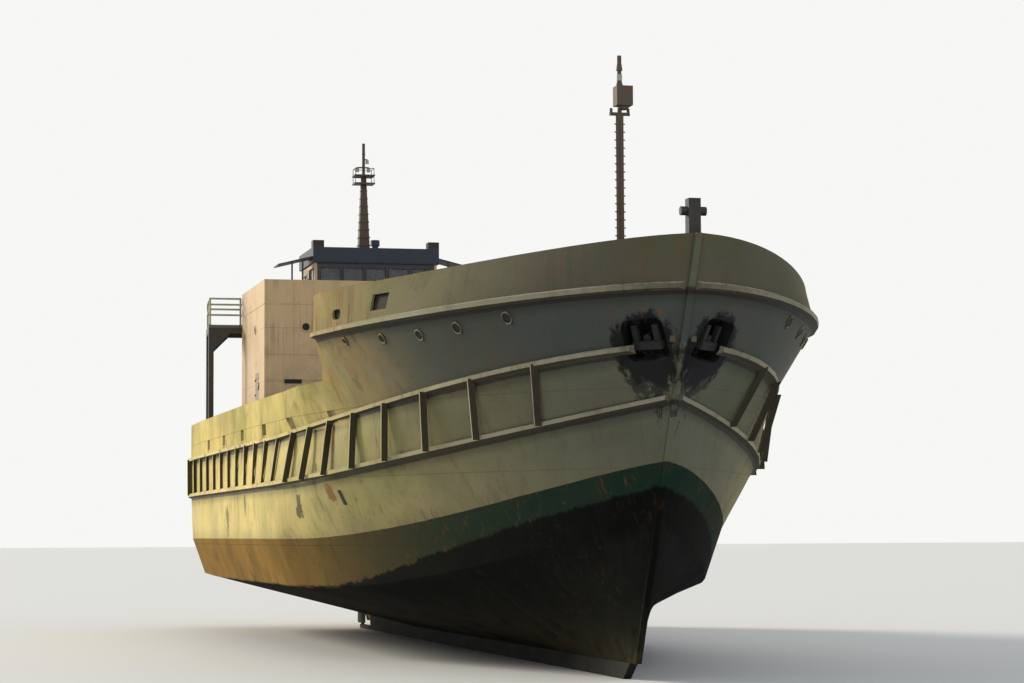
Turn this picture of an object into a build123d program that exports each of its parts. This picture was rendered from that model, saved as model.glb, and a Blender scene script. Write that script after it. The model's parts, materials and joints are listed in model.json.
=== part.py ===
"""Coastal work ship with a flared bow, raised forecastle, well deck and a deckhouse aft.

Millimetres. +X points forward, +Y to port and +Z up. The origin is amidships, on the centreline, at the waterline.
"""

from build123d import *
import math
import os

# Hull, overall
half_beam = 5180
stem_head_x = 17750
transom_x = -18000
stem_rake = 0.534
keel_flat = 60

# Heights above the waterline
keel_z = -2200
main_deck_z = 2500
knuckle_z = 4330
knuckle_stem_z = 4560

# Hull lines, from the bottom up. Each line's half breadth is its full breadth times
# (1 - (1 - u)**fore)**(1 / aft), where u runs from 0 at the stem to 1 after its entrance length,
# and its height falls from its stem height to its midship height along its sweep.
# name: (full half breadth, entrance, fore power, aft power, stem height, midship height, sweep,
# half breadth at the stem)
hull_lines = {
    "chine": (4750, 14400, 1.50, 1.25, 450, -920, 11200, 66),
    "boot_top": (half_beam - 60, 14600, 1.37, 1.38, 1520, 150, 12200, 72),
    "lower_strake": (half_beam - 10, 15500, 2.47, 1.03, 2660, 1400, 13500, 80),
    "upper_strake": (half_beam, 27300, 3.65, 1.67, 3540, 2440, 18000, 88),
    "knuckle": (half_beam, 9350, 1.48, 1.68, knuckle_stem_z, knuckle_z, 9500, 100),
    "rail": (half_beam, 8950, 1.05, 1.62, knuckle_stem_z + 870, knuckle_z + 830, 9500, 112),
}
hull_top = 5
# Distances aft of the stem of the raked bow sections, which lie parallel to the stem
bow_stations = (0, 60, 160, 330, 600, 950, 1400, 2000, 2700, 3500, 4500, 5700, 7200, 9000)
# Upright sections aft of them: (x, share of the full breadth, rise of the keel, rise of the chine)
stern_stations = (
    (2200, 1.0, 0, 0),
    (-7000, 1.0, 0, 0),
    (-11250, 1.0, 950, 0),
    (-13200, 0.998, 1350, 30),
    (-15500, 0.985, 1420, 60),
    (-16900, 0.955, 1450, 90),
    (-17650, 0.900, 1470, 110),
    (transom_x, 0.800, 1480, 120),
)

# Bulwarks and forecastle
break_x = 8150
bulwark_height = 950
bulwark_thickness = 60
store_length = 3300
store_width = 5000
store_height = 1680
store_door_y = -1500
store_door_height = 1350
freeing_port_length = 520
freeing_port_height = 260
freeing_port_x = (6900, 3600, 100, -3400, -7000, -10400)
break_sweep = ((0, 1), (330, 0.35), (900, 0))
mooring_port = (11540, 4752, 600, 320)
fairlead = (9745, 4640, 400, 200)

# Fenders
strake_depth = 90
strake_height = 180
strake_lip = 0.45
strake_root = 60
rib_count = 20
rib_pitch = 1572
first_rib_x = 14670
rib_width = 80
rib_depth = 70
rib_root = 60
rib_lean = 1.05
upright_rib_x = 8100

# Anchors and their pockets
pocket_y = 640
pocket_z = 3640
pocket_width = 760
pocket_height = 820
pocket_depth = 420
pocket_turn = 45
pocket_dip = 24

# Keel, skeg and stern gear
keel_width = 160
keel_bottom_z = -2520
keel_nose_x = 13900
sole_thickness = 110
skeg_end_x = -13800
shaft_z = -1620
shaft_radius = 75
propeller_x = -14350
propeller_radius = 640
hub_radius = 150
hub_length = 420
blade_count = 4
blade_thickness = 60
running_clearance = 0.1
rudder_x = -15500
rudder_chord = 1150
rudder_balance = 280
rudder_thickness = 130
rudder_bottom_z = -2370
rudder_top_z = -960
stock_radius = 70
pintle_radius = 45
pintle_depth = 60
stock_top_z = 500

# Cargo hatch and hold
hatch_x = 1000
hatch_length = 10400
hatch_width = 4800
hold_bottom_z = -600
coaming_height = 760
coaming_thickness = 90
cover_thickness = 90
cover_gap = 8
cover_hinge_radius = 40

# Deckhouse
house_front_x = -6750
house_back_x = -11350
house_half_width = 4150
casing_back_x = -15900
casing_half_width = 2600
bridge_deck_z = 6110
deck_thickness = 80
wall_thickness = 70
parapet_height = 850
wing_front_x = -11350
wing_back_x = -13300
wing_half_width = 5080
leg_size = 140
door_width = 700
door_height = 1800
door_sill = 250
door_gap = 6
door_thickness = 45

# Wheelhouse
wheelhouse_front_x = -13200
wheelhouse_back_x = -15800
wheelhouse_half_width = 1800
wheelhouse_height = 2000
roof_overhang = 60
roof_thickness = 450
sidelight_box = (350, 320, 200)
roof_vent_place = (-14200, 150)
roof_vent_radius = 135
roof_vent_height = 340
awning_half_width = 2870
awning_length = 900
awning_root_z = 8300
awning_edge_z = 8050
awning_thickness = 40
awning_post_ys = (2150, 2460)
awning_post_size = 45
window_sill = 1150
window_height = 700

# Guard rails and ladders
rail_height = 760
rail_bars = (460, 760)
rail_size = 50
rail_inset = 40
rail_post_pitch = 1900
ladder_width = 400
ladder_bar = 40
ladder_rung_pitch = 300
ladder_gap = 300
forecastle_ladder_y = 1500
bridge_ladder_y = 4200

# Hinges
barrel_radius = 14
barrel_length = 90
pin_gap = 4
knuckle_width = 16
lug_length = 64
hinge_length = 160
hinge_seat = 0.3

# Deck fittings
samson_x = 17910
samson_size = 220
samson_arm = 465
samson_arm_radius = 80
samson_top_z = 6070
breasthook_length = 800
breasthook_thickness = 60
windlass_x = 15300
windlass_length = 900
windlass_bed_width = 1500
windlass_bed_z = 4560
windlass_axis_z = 4930
windlass_width = 2000
warping_head = (880, 190, 240)
chain_wheel = (480, 240, 200)
chain_wheel_sides = 10
windlass_frame_width = 300
bitt_height = 520
bitt_radius = 110
bitt_pitch = 620
wing_back_half_width = 4930
gusset = 620
front_windows = 5
mullion = 110
side_window_width = 800
back_window_y = 850
door_window_width = 440
door_window_height = 600
glass_thickness = 10
platform_z = 10700

# Masts
foremast_x = 13200
foremast_top_z = 9450
foremast_radius = 75
lamp_z = 8660
lamp_box = (300, 320, 380)
lamp_offset = 70
crossbar_width = 400
topmast_radius = 42
lamp_gap = 160
mainmast_x = -15300
mainmast_top_z = 11940
mainmast_foot = 340
mainmast_head = 140
platform = (500, 620, 40)
platform_gap = 240

os.makedirs("parts", exist_ok=True)


def save(piece, name):
    """Labels a finished piece and writes it."""
    piece.label = name
    export_step(piece, f"parts/{name}.step")


def stem_x(z):
    """Place of the stem's raked line at a height."""
    return stem_head_x - (knuckle_stem_z - z) * stem_rake


def line_point(name, distance, inset=0):
    """Half breadth and height of a hull line, a distance aft of the stem."""
    full, entrance, fore, aft, stem_z, midship_z, sweep, stem_y = hull_lines[name]
    u = min(max(distance - inset, 0) / (entrance - inset), 1)
    v = min(distance / sweep, 1)
    breadth = (full - inset) * (1 - (1 - u) ** fore) ** (1 / aft)
    return max(breadth, stem_y), midship_z + (stem_z - midship_z) * (1 - v) ** 2


def station_points(station, names, inset=0):
    """Points of the named hull lines at a station: a raked distance, or an upright row of the table."""
    if isinstance(station, tuple):
        x, share, keel_rise, chine_rise = station
        points = []
        for name in names:
            y, z = line_point(name, stem_x(hull_lines[name][4]) - x, inset)
            points.append((y * share, z + (chine_rise if name == "chine" else 0)))
        return points
    return [line_point(name, station, inset) for name in names]


def section(station, points):
    """Points in space at a station, from half breadths and heights on the port side."""
    if isinstance(station, tuple):
        return [Vector(station[0], y, z) for y, z in points]
    return [Vector(stem_x(z) - station, y, z) for y, z in points]


def both_sides(points):
    """Closed outline through the port side's points and their mirror images."""
    return points + [Vector(p.X, -p.Y, p.Z) for p in reversed(points)]


def plates(corners):
    """Flat plates that fill a four-cornered patch: one where it is flat, else two that bulge outboard."""
    a, b, c, d = corners
    if abs((b - a).cross(c - a).normalized().dot(d - a)) < 1e-6:
        groups = [(a, b, c, d)]
    elif abs(a.Y + c.Y) > abs(b.Y + d.Y):
        groups = [(a, b, c), (a, c, d)]
    else:
        groups = [(a, b, d), (b, c, d)]
    return [Face(Wire.make_polygon(group)) for group in groups]


def plate_over(sections):
    """Solid plated between closed outlines that have equally many points."""
    faces = [Face(Wire.make_polygon(sections[0])), Face(Wire.make_polygon(sections[-1]))]
    for near, far in zip(sections, sections[1:]):
        for i in range(len(near)):
            faces += plates((near[i - 1], near[i], far[i], far[i - 1]))
    return Solid(Shell(faces))


line_names = list(hull_lines)
side_names = line_names[:hull_top]
stations = bow_stations + stern_stations
forecastle_stations = bow_stations + stern_stations[:1]


def plate_hull(inset):
    """The hull's outer form up to the knuckle, drawn in by an inset."""
    sections = []
    for station in stations:
        rise = 0
        if isinstance(station, tuple):
            rise = station[2]
            station = (max(station[0], transom_x + inset),) + station[1:]
        points = [(keel_flat, keel_z + rise + inset)] + station_points(station, side_names, inset)
        sections.append(both_sides(section(station, points)))
    return plate_over(sections)


def plate_forecastle(skipped, inset, extra):
    """The forecastle's form from the knuckle to the rail, aft of skipped stations, drawn in and made taller."""
    sections = []
    for station in forecastle_stations[skipped:]:
        low, high = station_points(station, ("knuckle", "rail"), inset)
        points = [(low[0], low[1] - extra), (high[0], high[1] + extra)]
        sections.append(both_sides(section(station, points)))
    return plate_over(sections)


hull_form = plate_hull(0)
inner_form = plate_hull(bulwark_thickness)
forecastle_form = plate_forecastle(0, 0, 0)
forecastle_space = plate_forecastle(1, bulwark_thickness, 2)


def barrel_zs(low_z, height):
    """Heights of the two hinge barrels of a door."""
    return (low_z + 0.15 * height, low_z + 0.8 * height)


def lug_corners(pin, along, out):
    """Corners of the hinge lug beside a door: along its wall away from the leaf, and out from the wall."""
    reach = barrel_radius + pin_gap
    corners = (
        (-knuckle_width / 2, -barrel_radius),
        (0, -barrel_radius),
        (0, -reach),
        (lug_length, -reach),
        (lug_length, barrel_radius),
        (-knuckle_width / 2, barrel_radius),
    )
    return [(pin[0] + a * along[0] + b * out[0], pin[1] + a * along[1] + b * out[1]) for a, b in corners]


def pocket_plane(side):
    """Plane of an anchor pocket's mouth, facing forward, outboard and down."""
    turn = math.radians(pocket_turn)
    dip = math.radians(pocket_dip)
    normal = (math.cos(turn) * math.cos(dip), side * math.sin(turn) * math.cos(dip), -math.sin(dip))
    across = (-side * math.sin(turn), math.cos(turn), 0)
    distance = 250
    return Plane(
        origin=(stem_x(pocket_z) - distance, side * pocket_y, pocket_z),
        x_dir=across,
        z_dir=normal,
    )


# Hull with its forecastle, solid below its decks apart from the hold
with BuildPart() as hull:
    add(hull_form)
    with BuildSketch(Plane.XY.offset(main_deck_z)):
        with Locations(((break_x + transom_x - 1000) / 2, 0)):
            Rectangle(break_x - transom_x + 1000, 4 * half_beam)
    extrude(amount=4000, mode=Mode.SUBTRACT)
    with BuildSketch(Plane.XY.offset(main_deck_z)):
        with Locations((hatch_x, 0)):
            Rectangle(hatch_length, hatch_width)
    extrude(amount=hold_bottom_z - main_deck_z, mode=Mode.SUBTRACT)
    with BuildSketch(Plane.XY.offset(stock_top_z)):
        with Locations((rudder_x, 0)):
            Circle(stock_radius + running_clearance)
    extrude(amount=keel_z - stock_top_z, mode=Mode.SUBTRACT)
    with BuildSketch(Plane.XY.offset(main_deck_z)):
        with Locations((break_x + (wall_thickness + store_length) / 2, 0)):
            Rectangle(wall_thickness + store_length, store_width)
    extrude(amount=store_height, mode=Mode.SUBTRACT)
    for side in (1, -1):
        with BuildSketch(pocket_plane(side)):
            RectangleRounded(pocket_width, pocket_height, 150)
        extrude(amount=pocket_depth, both=True, mode=Mode.SUBTRACT)
save(hull.part, "hull")

# Bulkhead of the forecastle's store, with its door
with BuildPart() as store_bulkhead:
    with BuildSketch(Plane.YZ.offset(break_x)):
        with Locations((0, main_deck_z + store_height / 2)):
            Rectangle(store_width, store_height)
        with Locations((store_door_y, main_deck_z + door_sill + store_door_height / 2)):
            Rectangle(door_width, store_door_height, mode=Mode.SUBTRACT)
    extrude(amount=wall_thickness)
    for z in barrel_zs(main_deck_z + door_sill, store_door_height):
        with BuildSketch(Plane.XY.offset(z)):
            pin = (break_x - barrel_radius - pin_gap, store_door_y + door_width / 2)
            Polygon(*lug_corners(pin, (0, 1), (-1, 0)), align=None)
        extrude(amount=barrel_length)
save(store_bulkhead.part, "store_bulkhead")
with BuildPart() as store_door:
    with BuildSketch(Plane.YZ.offset(break_x)):
        with Locations((store_door_y, main_deck_z + door_sill + store_door_height / 2)):
            Rectangle(door_width - 2 * door_gap, store_door_height - 2 * door_gap)
    extrude(amount=door_thickness)
    for z in barrel_zs(main_deck_z + door_sill, store_door_height):
        low_z = z - barrel_length / 2 - hinge_seat
        with Locations((break_x - barrel_radius - pin_gap, store_door_y + door_width / 2, low_z)):
            Cylinder(barrel_radius, barrel_length)
        with Locations((break_x - barrel_radius / 2 - pin_gap / 2, store_door_y + door_width / 2 - 50, low_z)):
            Box(barrel_radius + pin_gap, 100, barrel_length)
save(store_door.part, "store_door")

# Keel, skeg and the sole piece below the propeller
keel_top = [(row[0], keel_z + row[2]) for row in stern_stations if row[0] >= skeg_end_x]
(ahead, ahead_z), (behind, behind_z) = [
    (row[0], keel_z + row[2]) for row in stern_stations if -15500 <= row[0] <= -13200
]
skeg_top_z = ahead_z + (behind_z - ahead_z) * (ahead - skeg_end_x) / (ahead - behind)
sole_z = keel_bottom_z + sole_thickness
with BuildPart() as keel:
    with BuildSketch(Plane.XZ.offset(-keel_width / 2)):
        with BuildLine():
            Polyline(
                (keel_nose_x - 500, keel_bottom_z),
                (keel_nose_x, keel_z),
                *keel_top,
                (skeg_end_x, skeg_top_z),
                (skeg_end_x, keel_bottom_z),
                close=True,
            )
        make_face()
    extrude(amount=keel_width)
    with BuildSketch(Plane.YZ.offset(skeg_end_x + 1500)):
        with Locations((0, shaft_z)):
            Circle(shaft_radius + 45)
    extrude(amount=-1500)
    with BuildSketch(Plane.YZ.offset(skeg_end_x)):
        with Locations((0, shaft_z)):
            Circle(shaft_radius + running_clearance)
    extrude(amount=1400, both=True, mode=Mode.SUBTRACT)
    add(hull_form, mode=Mode.SUBTRACT)
save(keel.part, "keel")
with BuildPart() as sole_piece:
    with BuildSketch(Plane.XY.offset(keel_bottom_z)):
        with BuildLine():
            Polyline(
                (skeg_end_x, keel_width / 2),
                (rudder_x, keel_width / 2),
                (rudder_x - rudder_balance, 0),
                (rudder_x, -keel_width / 2),
                (skeg_end_x, -keel_width / 2),
                close=True,
            )
        make_face()
    extrude(amount=sole_thickness)
    with BuildSketch(Plane.XY.offset(sole_z)):
        with Locations((rudder_x, 0)):
            Circle(pintle_radius + running_clearance)
    extrude(amount=-pintle_depth - 5, mode=Mode.SUBTRACT)
save(sole_piece.part, "sole_piece")

# Stem bar, from the forefoot to the rail
bar_depth = 70
rail_stem_z = hull_lines["rail"][4]
with BuildPart() as stem_bar:
    with BuildSketch(Plane.XZ.offset(-60)):
        with BuildLine():
            Polyline(
                (stem_x(keel_z), keel_z),
                (stem_x(rail_stem_z), rail_stem_z),
                (stem_x(rail_stem_z) + bar_depth, rail_stem_z),
                (stem_x(keel_z) + bar_depth, keel_z),
                close=True,
            )
        make_face()
    extrude(amount=120)
save(stem_bar.part, "stem_bar")

# Forecastle bulwark, standing on the knuckle
for side, name in ((1, "port"), (-1, "starboard")):
    with BuildPart() as forecastle_bulwark:
        add(forecastle_form)
        add(forecastle_space, mode=Mode.SUBTRACT)
        with BuildSketch(Plane.XY.offset(knuckle_z - 100)):
            with Locations((break_x + stem_head_x / 2, side * half_beam)):
                Rectangle(stem_head_x, 2 * half_beam)
        extrude(amount=2000, mode=Mode.INTERSECT)
        with BuildSketch(Plane.XZ):
            with Locations(mooring_port[:2]):
                Rectangle(*mooring_port[2:])
            with Locations(fairlead[:2]):
                SlotOverall(*fairlead[2:])
        extrude(amount=-side * 2 * half_beam, mode=Mode.SUBTRACT)
    save(forecastle_bulwark.part, f"forecastle_bulwark_{name}")

# Well deck bulwarks, with freeing ports, and the stern bulwark
stern_bulwark_x = stern_stations[-4][0]
bulwark_z = main_deck_z + bulwark_height
for side, name in ((1, "port"), (-1, "starboard")):
    with BuildPart() as well_bulwark:
        add(hull_form)
        add(inner_form, mode=Mode.SUBTRACT)
        with BuildSketch(Plane.XZ):
            with BuildLine():
                Polyline(
                    (stern_bulwark_x, main_deck_z),
                    (break_x, main_deck_z),
                    *[(break_x - along, bulwark_z + up * (knuckle_z - bulwark_z)) for along, up in break_sweep],
                    (stern_bulwark_x, bulwark_z),
                    close=True,
                )
            make_face()
        extrude(amount=-side * 2 * half_beam, mode=Mode.INTERSECT)
        with BuildSketch(Plane.XZ):
            for x in freeing_port_x:
                with Locations((x, main_deck_z + freeing_port_height / 2 + 80)):
                    Rectangle(freeing_port_length, freeing_port_height)
        extrude(amount=-side * 2 * half_beam, mode=Mode.SUBTRACT)
    save(well_bulwark.part, f"well_bulwark_{name}")
with BuildPart() as stern_bulwark:
    add(hull_form)
    add(inner_form, mode=Mode.SUBTRACT)
    with BuildSketch(Plane.XY.offset(main_deck_z)):
        with Locations(((stern_bulwark_x + transom_x) / 2, 0)):
            Rectangle(stern_bulwark_x - transom_x, 4 * half_beam)
    extrude(amount=bulwark_height, mode=Mode.INTERSECT)
save(stern_bulwark.part, "stern_bulwark")

# Fender strakes: half round bars along a hull line, whose back lies on the plating


def strake_outline(station, name, side):
    """Closed outline of a strake, whose root lies inside the plating."""
    index = line_names.index(name)
    below, line, above = station_points(station, line_names[index - 1 : index + 2])
    half = strake_height / 2
    root = line[0] - strake_root
    points = [
        (root, line[1] - half),
        (line[0] + strake_depth, line[1] - half * strake_lip),
        (line[0] + strake_depth, line[1] + half * strake_lip),
        (root, line[1] + half),
    ]
    return section(station, [(side * y, z) for y, z in points])


for side, side_name in ((1, "port"), (-1, "starboard")):
    with BuildPart() as strakes:
        for i in range(rib_count):
            x = first_rib_x - i * rib_pitch
            low, high = station_points((x, 1, 0, 0), ("lower_strake", "upper_strake"))
            lean = rib_lean * max(x - upright_rib_x, 0) / (first_rib_x - upright_rib_x) * (high[1] - low[1]) / 2
            ends = []
            for name, middle in (("lower_strake", x - lean), ("upper_strake", x + lean)):
                fore, aft = middle + rib_width / 2, middle - rib_width / 2
                y, z = station_points((fore, 1, 0, 0), (name,))[0]
                inner, outer = side * (y - rib_root), side * (y + rib_depth)
                plan = ((fore, inner), (fore, outer), (aft, outer), (aft, inner))
                ends.append([Vector(*point, z) for point in plan])
            add(plate_over(ends))
        for name, first in (("lower_strake", 1), ("upper_strake", 3)):
            add(plate_over([strake_outline(station, name, side) for station in stations[first:-1]]))
        add(hull_form, mode=Mode.SUBTRACT)
    save(strakes.part, f"strakes_{side_name}")

# Knuckle moulding round the edge of the forecastle deck
for side, side_name in ((1, "port"), (-1, "starboard")):
    with BuildPart() as knuckle_moulding:
        add(plate_over([strake_outline(station, "knuckle", side) for station in forecastle_stations]))
        add(hull_form, mode=Mode.SUBTRACT)
        add(forecastle_form, mode=Mode.SUBTRACT)
        with BuildSketch():
            with Locations((break_x + stem_head_x / 2, side * half_beam)):
                Rectangle(stem_head_x, 4 * half_beam)
        extrude(amount=2 * knuckle_z, mode=Mode.INTERSECT)
    save(knuckle_moulding.part, f"knuckle_moulding_{side_name}")

deck_low_z = knuckle_z - 60

# Foremast on the forecastle deck
crossbar_z = lamp_z - lamp_box[2] / 2 - lamp_gap
with BuildPart() as foremast:
    with BuildSketch(Plane.XY.offset(deck_low_z)):
        with Locations((foremast_x, 0)):
            Circle(foremast_radius)
    extrude(amount=crossbar_z - deck_low_z)
    with BuildSketch(Plane.XY.offset(crossbar_z)):
        with Locations((foremast_x, 0)):
            Circle(topmast_radius)
    extrude(amount=foremast_top_z - crossbar_z)
    with Locations((foremast_x, lamp_offset, lamp_z)):
        Box(*lamp_box)
    with Locations((foremast_x, 0, crossbar_z)):
        Box(60, crossbar_width, 60)
    add(hull_form, mode=Mode.SUBTRACT)
save(foremast.part, "foremast")

# Samson post at the stem head, a cruciform bitt on the breasthook between the bulwarks
breasthook_z = rail_stem_z - 2 * breasthook_thickness
with BuildPart() as samson_post:
    with BuildSketch(Plane.XY.offset(breasthook_z)):
        with Locations((stem_x(breasthook_z) - breasthook_length / 2, 0)):
            Rectangle(breasthook_length, 2 * breasthook_length)
    extrude(amount=breasthook_thickness)
    add(forecastle_space, mode=Mode.INTERSECT)
    with BuildSketch(Plane.XY.offset(breasthook_z)):
        with Locations((samson_x, 0)):
            Rectangle(samson_size, samson_size)
    extrude(amount=samson_top_z - breasthook_z)
    with BuildSketch(Plane.XZ.offset(-samson_arm / 2)):
        with Locations((samson_x, samson_top_z - samson_size)):
            Circle(samson_arm_radius)
    extrude(amount=samson_arm)
save(samson_post.part, "samson_post")

# Windlass: two chain wheels and two warping heads on one shaft
with BuildPart() as windlass:
    with BuildSketch(Plane.XY.offset(deck_low_z)):
        with Locations((windlass_x, 0)):
            Rectangle(windlass_length, windlass_bed_width)
    extrude(amount=windlass_bed_z - deck_low_z)
    with BuildSketch(Plane.XZ.offset(-windlass_width / 2)):
        with Locations((windlass_x, windlass_axis_z)):
            Circle(70)
    extrude(amount=windlass_width)
    for side in (1, -1):
        with BuildSketch(Plane.XZ.offset(-side * warping_head[0] - warping_head[2] / 2)):
            with Locations((windlass_x, windlass_axis_z)):
                Circle(warping_head[1])
        extrude(amount=warping_head[2])
        with BuildSketch(Plane.XZ.offset(-side * chain_wheel[0] - chain_wheel[2] / 2)):
            with Locations((windlass_x, windlass_axis_z)):
                RegularPolygon(chain_wheel[1], chain_wheel_sides)
        extrude(amount=chain_wheel[2])
        frame_inner = chain_wheel[0] + chain_wheel[2] / 2
        frame_outer = warping_head[0] - warping_head[2] / 2
        with BuildSketch(Plane.XY.offset(windlass_bed_z)):
            with Locations((windlass_x, side * (frame_inner + frame_outer) / 2)):
                Rectangle(windlass_frame_width, frame_outer - frame_inner)
        extrude(amount=windlass_axis_z + windlass_frame_width / 2 - windlass_bed_z)
    with BuildSketch(Plane.XY.offset(windlass_bed_z)):
        with Locations((windlass_x, 0)):
            Rectangle(420, 420)
    extrude(amount=windlass_axis_z + 200 - windlass_bed_z)
    add(hull_form, mode=Mode.SUBTRACT)
save(windlass.part, "windlass")

# Mooring bitts: a pair on a bed plate at each side, forward and aft
for name, bitt_x, bitt_y, bed_z in (
    ("forward", 11600, 3100, deck_low_z),
    ("aft", -15000, 3900, main_deck_z),
):
    top_z = (knuckle_z if name == "forward" else main_deck_z) + bitt_height
    with BuildPart() as bitts:
        for side in (1, -1):
            posts = [(bitt_x + share * bitt_pitch, side * bitt_y) for share in (-0.5, 0.5)]
            with BuildSketch(Plane.XY.offset(bed_z)):
                with Locations((bitt_x, side * bitt_y)):
                    Rectangle(bitt_pitch + 400, 340)
            extrude(amount=top_z - bitt_height + 60 - bed_z)
            with BuildSketch(Plane.XY.offset(top_z - bitt_height)):
                with Locations(*posts):
                    Circle(bitt_radius)
            extrude(amount=bitt_height)
        if name == "forward":
            add(hull_form, mode=Mode.SUBTRACT)
    save(bitts.part, f"bitts_{name}")

# Anchors, housed in their pockets
for side, side_name in ((1, "port"), (-1, "starboard")):
    mouth = pocket_plane(side)
    with BuildPart() as anchor:
        with BuildSketch(mouth.offset(-pocket_depth)):
            Circle(70)
        extrude(amount=pocket_depth - 100)
        with BuildSketch(mouth.offset(-170)):
            with Locations((0, -120)):
                Rectangle(560, 150)
        extrude(amount=130)
        with BuildSketch(mouth.offset(-160)):
            with Locations((-210, 60), (210, 60)):
                Rectangle(110, 400)
        extrude(amount=90)
    save(anchor.part, f"anchor_{side_name}")

# Hatch coaming and its two hinged covers
coaming_top_z = main_deck_z + coaming_height
cover_bottom_z = coaming_top_z + cover_gap
outer_y = hatch_width / 2 + coaming_thickness
hinge_y = outer_y + cover_hinge_radius + 12
hinge_z = cover_bottom_z + cover_thickness / 2
hinge_x = [hatch_x + share * hatch_length for share in (-0.4, 0, 0.4)]
with BuildPart() as coaming:
    with BuildSketch(Plane.XY.offset(main_deck_z)):
        with Locations((hatch_x, 0)):
            Rectangle(hatch_length + 2 * coaming_thickness, 2 * outer_y)
            Rectangle(hatch_length, hatch_width, mode=Mode.SUBTRACT)
    extrude(amount=coaming_height)
    for side in (1, -1):
        for x in hinge_x:
            with Locations((x - hinge_length / 2, side * (hinge_y + outer_y) / 2, coaming_top_z - 60)):
                Box(hinge_length, hinge_y - outer_y, 110)
            with Locations((x - hinge_length / 2, side * (hinge_y + 5), hinge_z - 45)):
                Box(hinge_length, 2 * cover_hinge_radius - 10, 150)
save(coaming.part, "hatch_coaming")
for side, side_name in ((1, "port"), (-1, "starboard")):
    with BuildPart() as cover:
        with BuildSketch(Plane.XY.offset(cover_bottom_z)):
            with Locations((hatch_x, side * (cover_gap / 2 + outer_y / 2))):
                Rectangle(hatch_length + 2 * coaming_thickness, outer_y - cover_gap)
        extrude(amount=cover_thickness)
        for x in hinge_x:
            with BuildSketch(Plane.YZ.offset(x + hinge_seat)):
                with Locations((side * hinge_y, hinge_z)):
                    Circle(cover_hinge_radius)
                with Locations((side * (hinge_y + outer_y) / 2, hinge_z)):
                    Rectangle(hinge_y - outer_y + 20, cover_hinge_radius)
            extrude(amount=hinge_length)
    save(cover.part, f"hatch_cover_{side_name}")

# Propeller shaft, propeller and rudder
with BuildPart() as shaft:
    with BuildSketch(Plane.YZ.offset(propeller_x - hub_length / 2)):
        with Locations((0, shaft_z)):
            Circle(shaft_radius)
    extrude(amount=skeg_end_x + 1300 - propeller_x + hub_length / 2)
save(shaft.part, "propeller_shaft")
blade_angles = (64, 40, 27)
blade_radii = (hub_radius - 20, 0.6 * propeller_radius, propeller_radius)
blade_chords = (200, 430, 180)
blade_sections = []
for radius, angle, chord in zip(blade_radii, blade_angles, blade_chords):
    pitch = math.radians(angle)
    along = Vector(math.sin(pitch), math.cos(pitch), 0) * (chord / 2)
    across = Vector(math.cos(pitch), -math.sin(pitch), 0) * (blade_thickness / 2)
    centre = Vector(propeller_x, 0, shaft_z + radius)
    blade_sections.append([centre + along, centre + across, centre - along, centre - across])
blade = plate_over(blade_sections)
with BuildPart() as propeller:
    with BuildSketch(Plane.YZ.offset(propeller_x - hub_length / 2)):
        with Locations((0, shaft_z)):
            Circle(hub_radius)
    extrude(amount=hub_length)
    for i in range(blade_count):
        add(blade.rotate(Axis((propeller_x, 0, shaft_z), (1, 0, 0)), 360 / blade_count * i))
    with BuildSketch(Plane.YZ.offset(propeller_x - hub_length / 2)):
        with Locations((0, shaft_z)):
            Circle(shaft_radius)
    extrude(amount=hub_length, mode=Mode.SUBTRACT)
save(propeller.part, "propeller")
with BuildPart() as rudder:
    with BuildSketch(Plane.XY.offset(rudder_bottom_z)):
        with BuildLine():
            Polyline(
                (rudder_x + rudder_balance, 0),
                (rudder_x + rudder_balance * 0.4, rudder_thickness / 2),
                (rudder_x - rudder_balance, rudder_thickness / 2),
                (rudder_x + rudder_balance - rudder_chord, 0),
                (rudder_x - rudder_balance, -rudder_thickness / 2),
                (rudder_x + rudder_balance * 0.4, -rudder_thickness / 2),
                close=True,
            )
        make_face()
    extrude(amount=rudder_top_z - rudder_bottom_z)
    with BuildSketch(Plane.XY.offset(rudder_bottom_z)):
        with Locations((rudder_x, 0)):
            Circle(pintle_radius)
    extrude(amount=sole_z - pintle_depth - rudder_bottom_z)
    with BuildSketch(Plane.XY.offset(rudder_top_z)):
        with Locations((rudder_x, 0)):
            Circle(stock_radius)
    extrude(amount=stock_top_z - 100 - rudder_top_z)
save(rudder.part, "rudder")

# Deckhouse walls. Plates of doors stand in the side walls, hinged at their forward edges.
wall_top_z = bridge_deck_z + parapet_height
door_low_z = main_deck_z + door_sill
door_x = house_front_x - 1050
inner_half = house_half_width - wall_thickness


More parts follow.
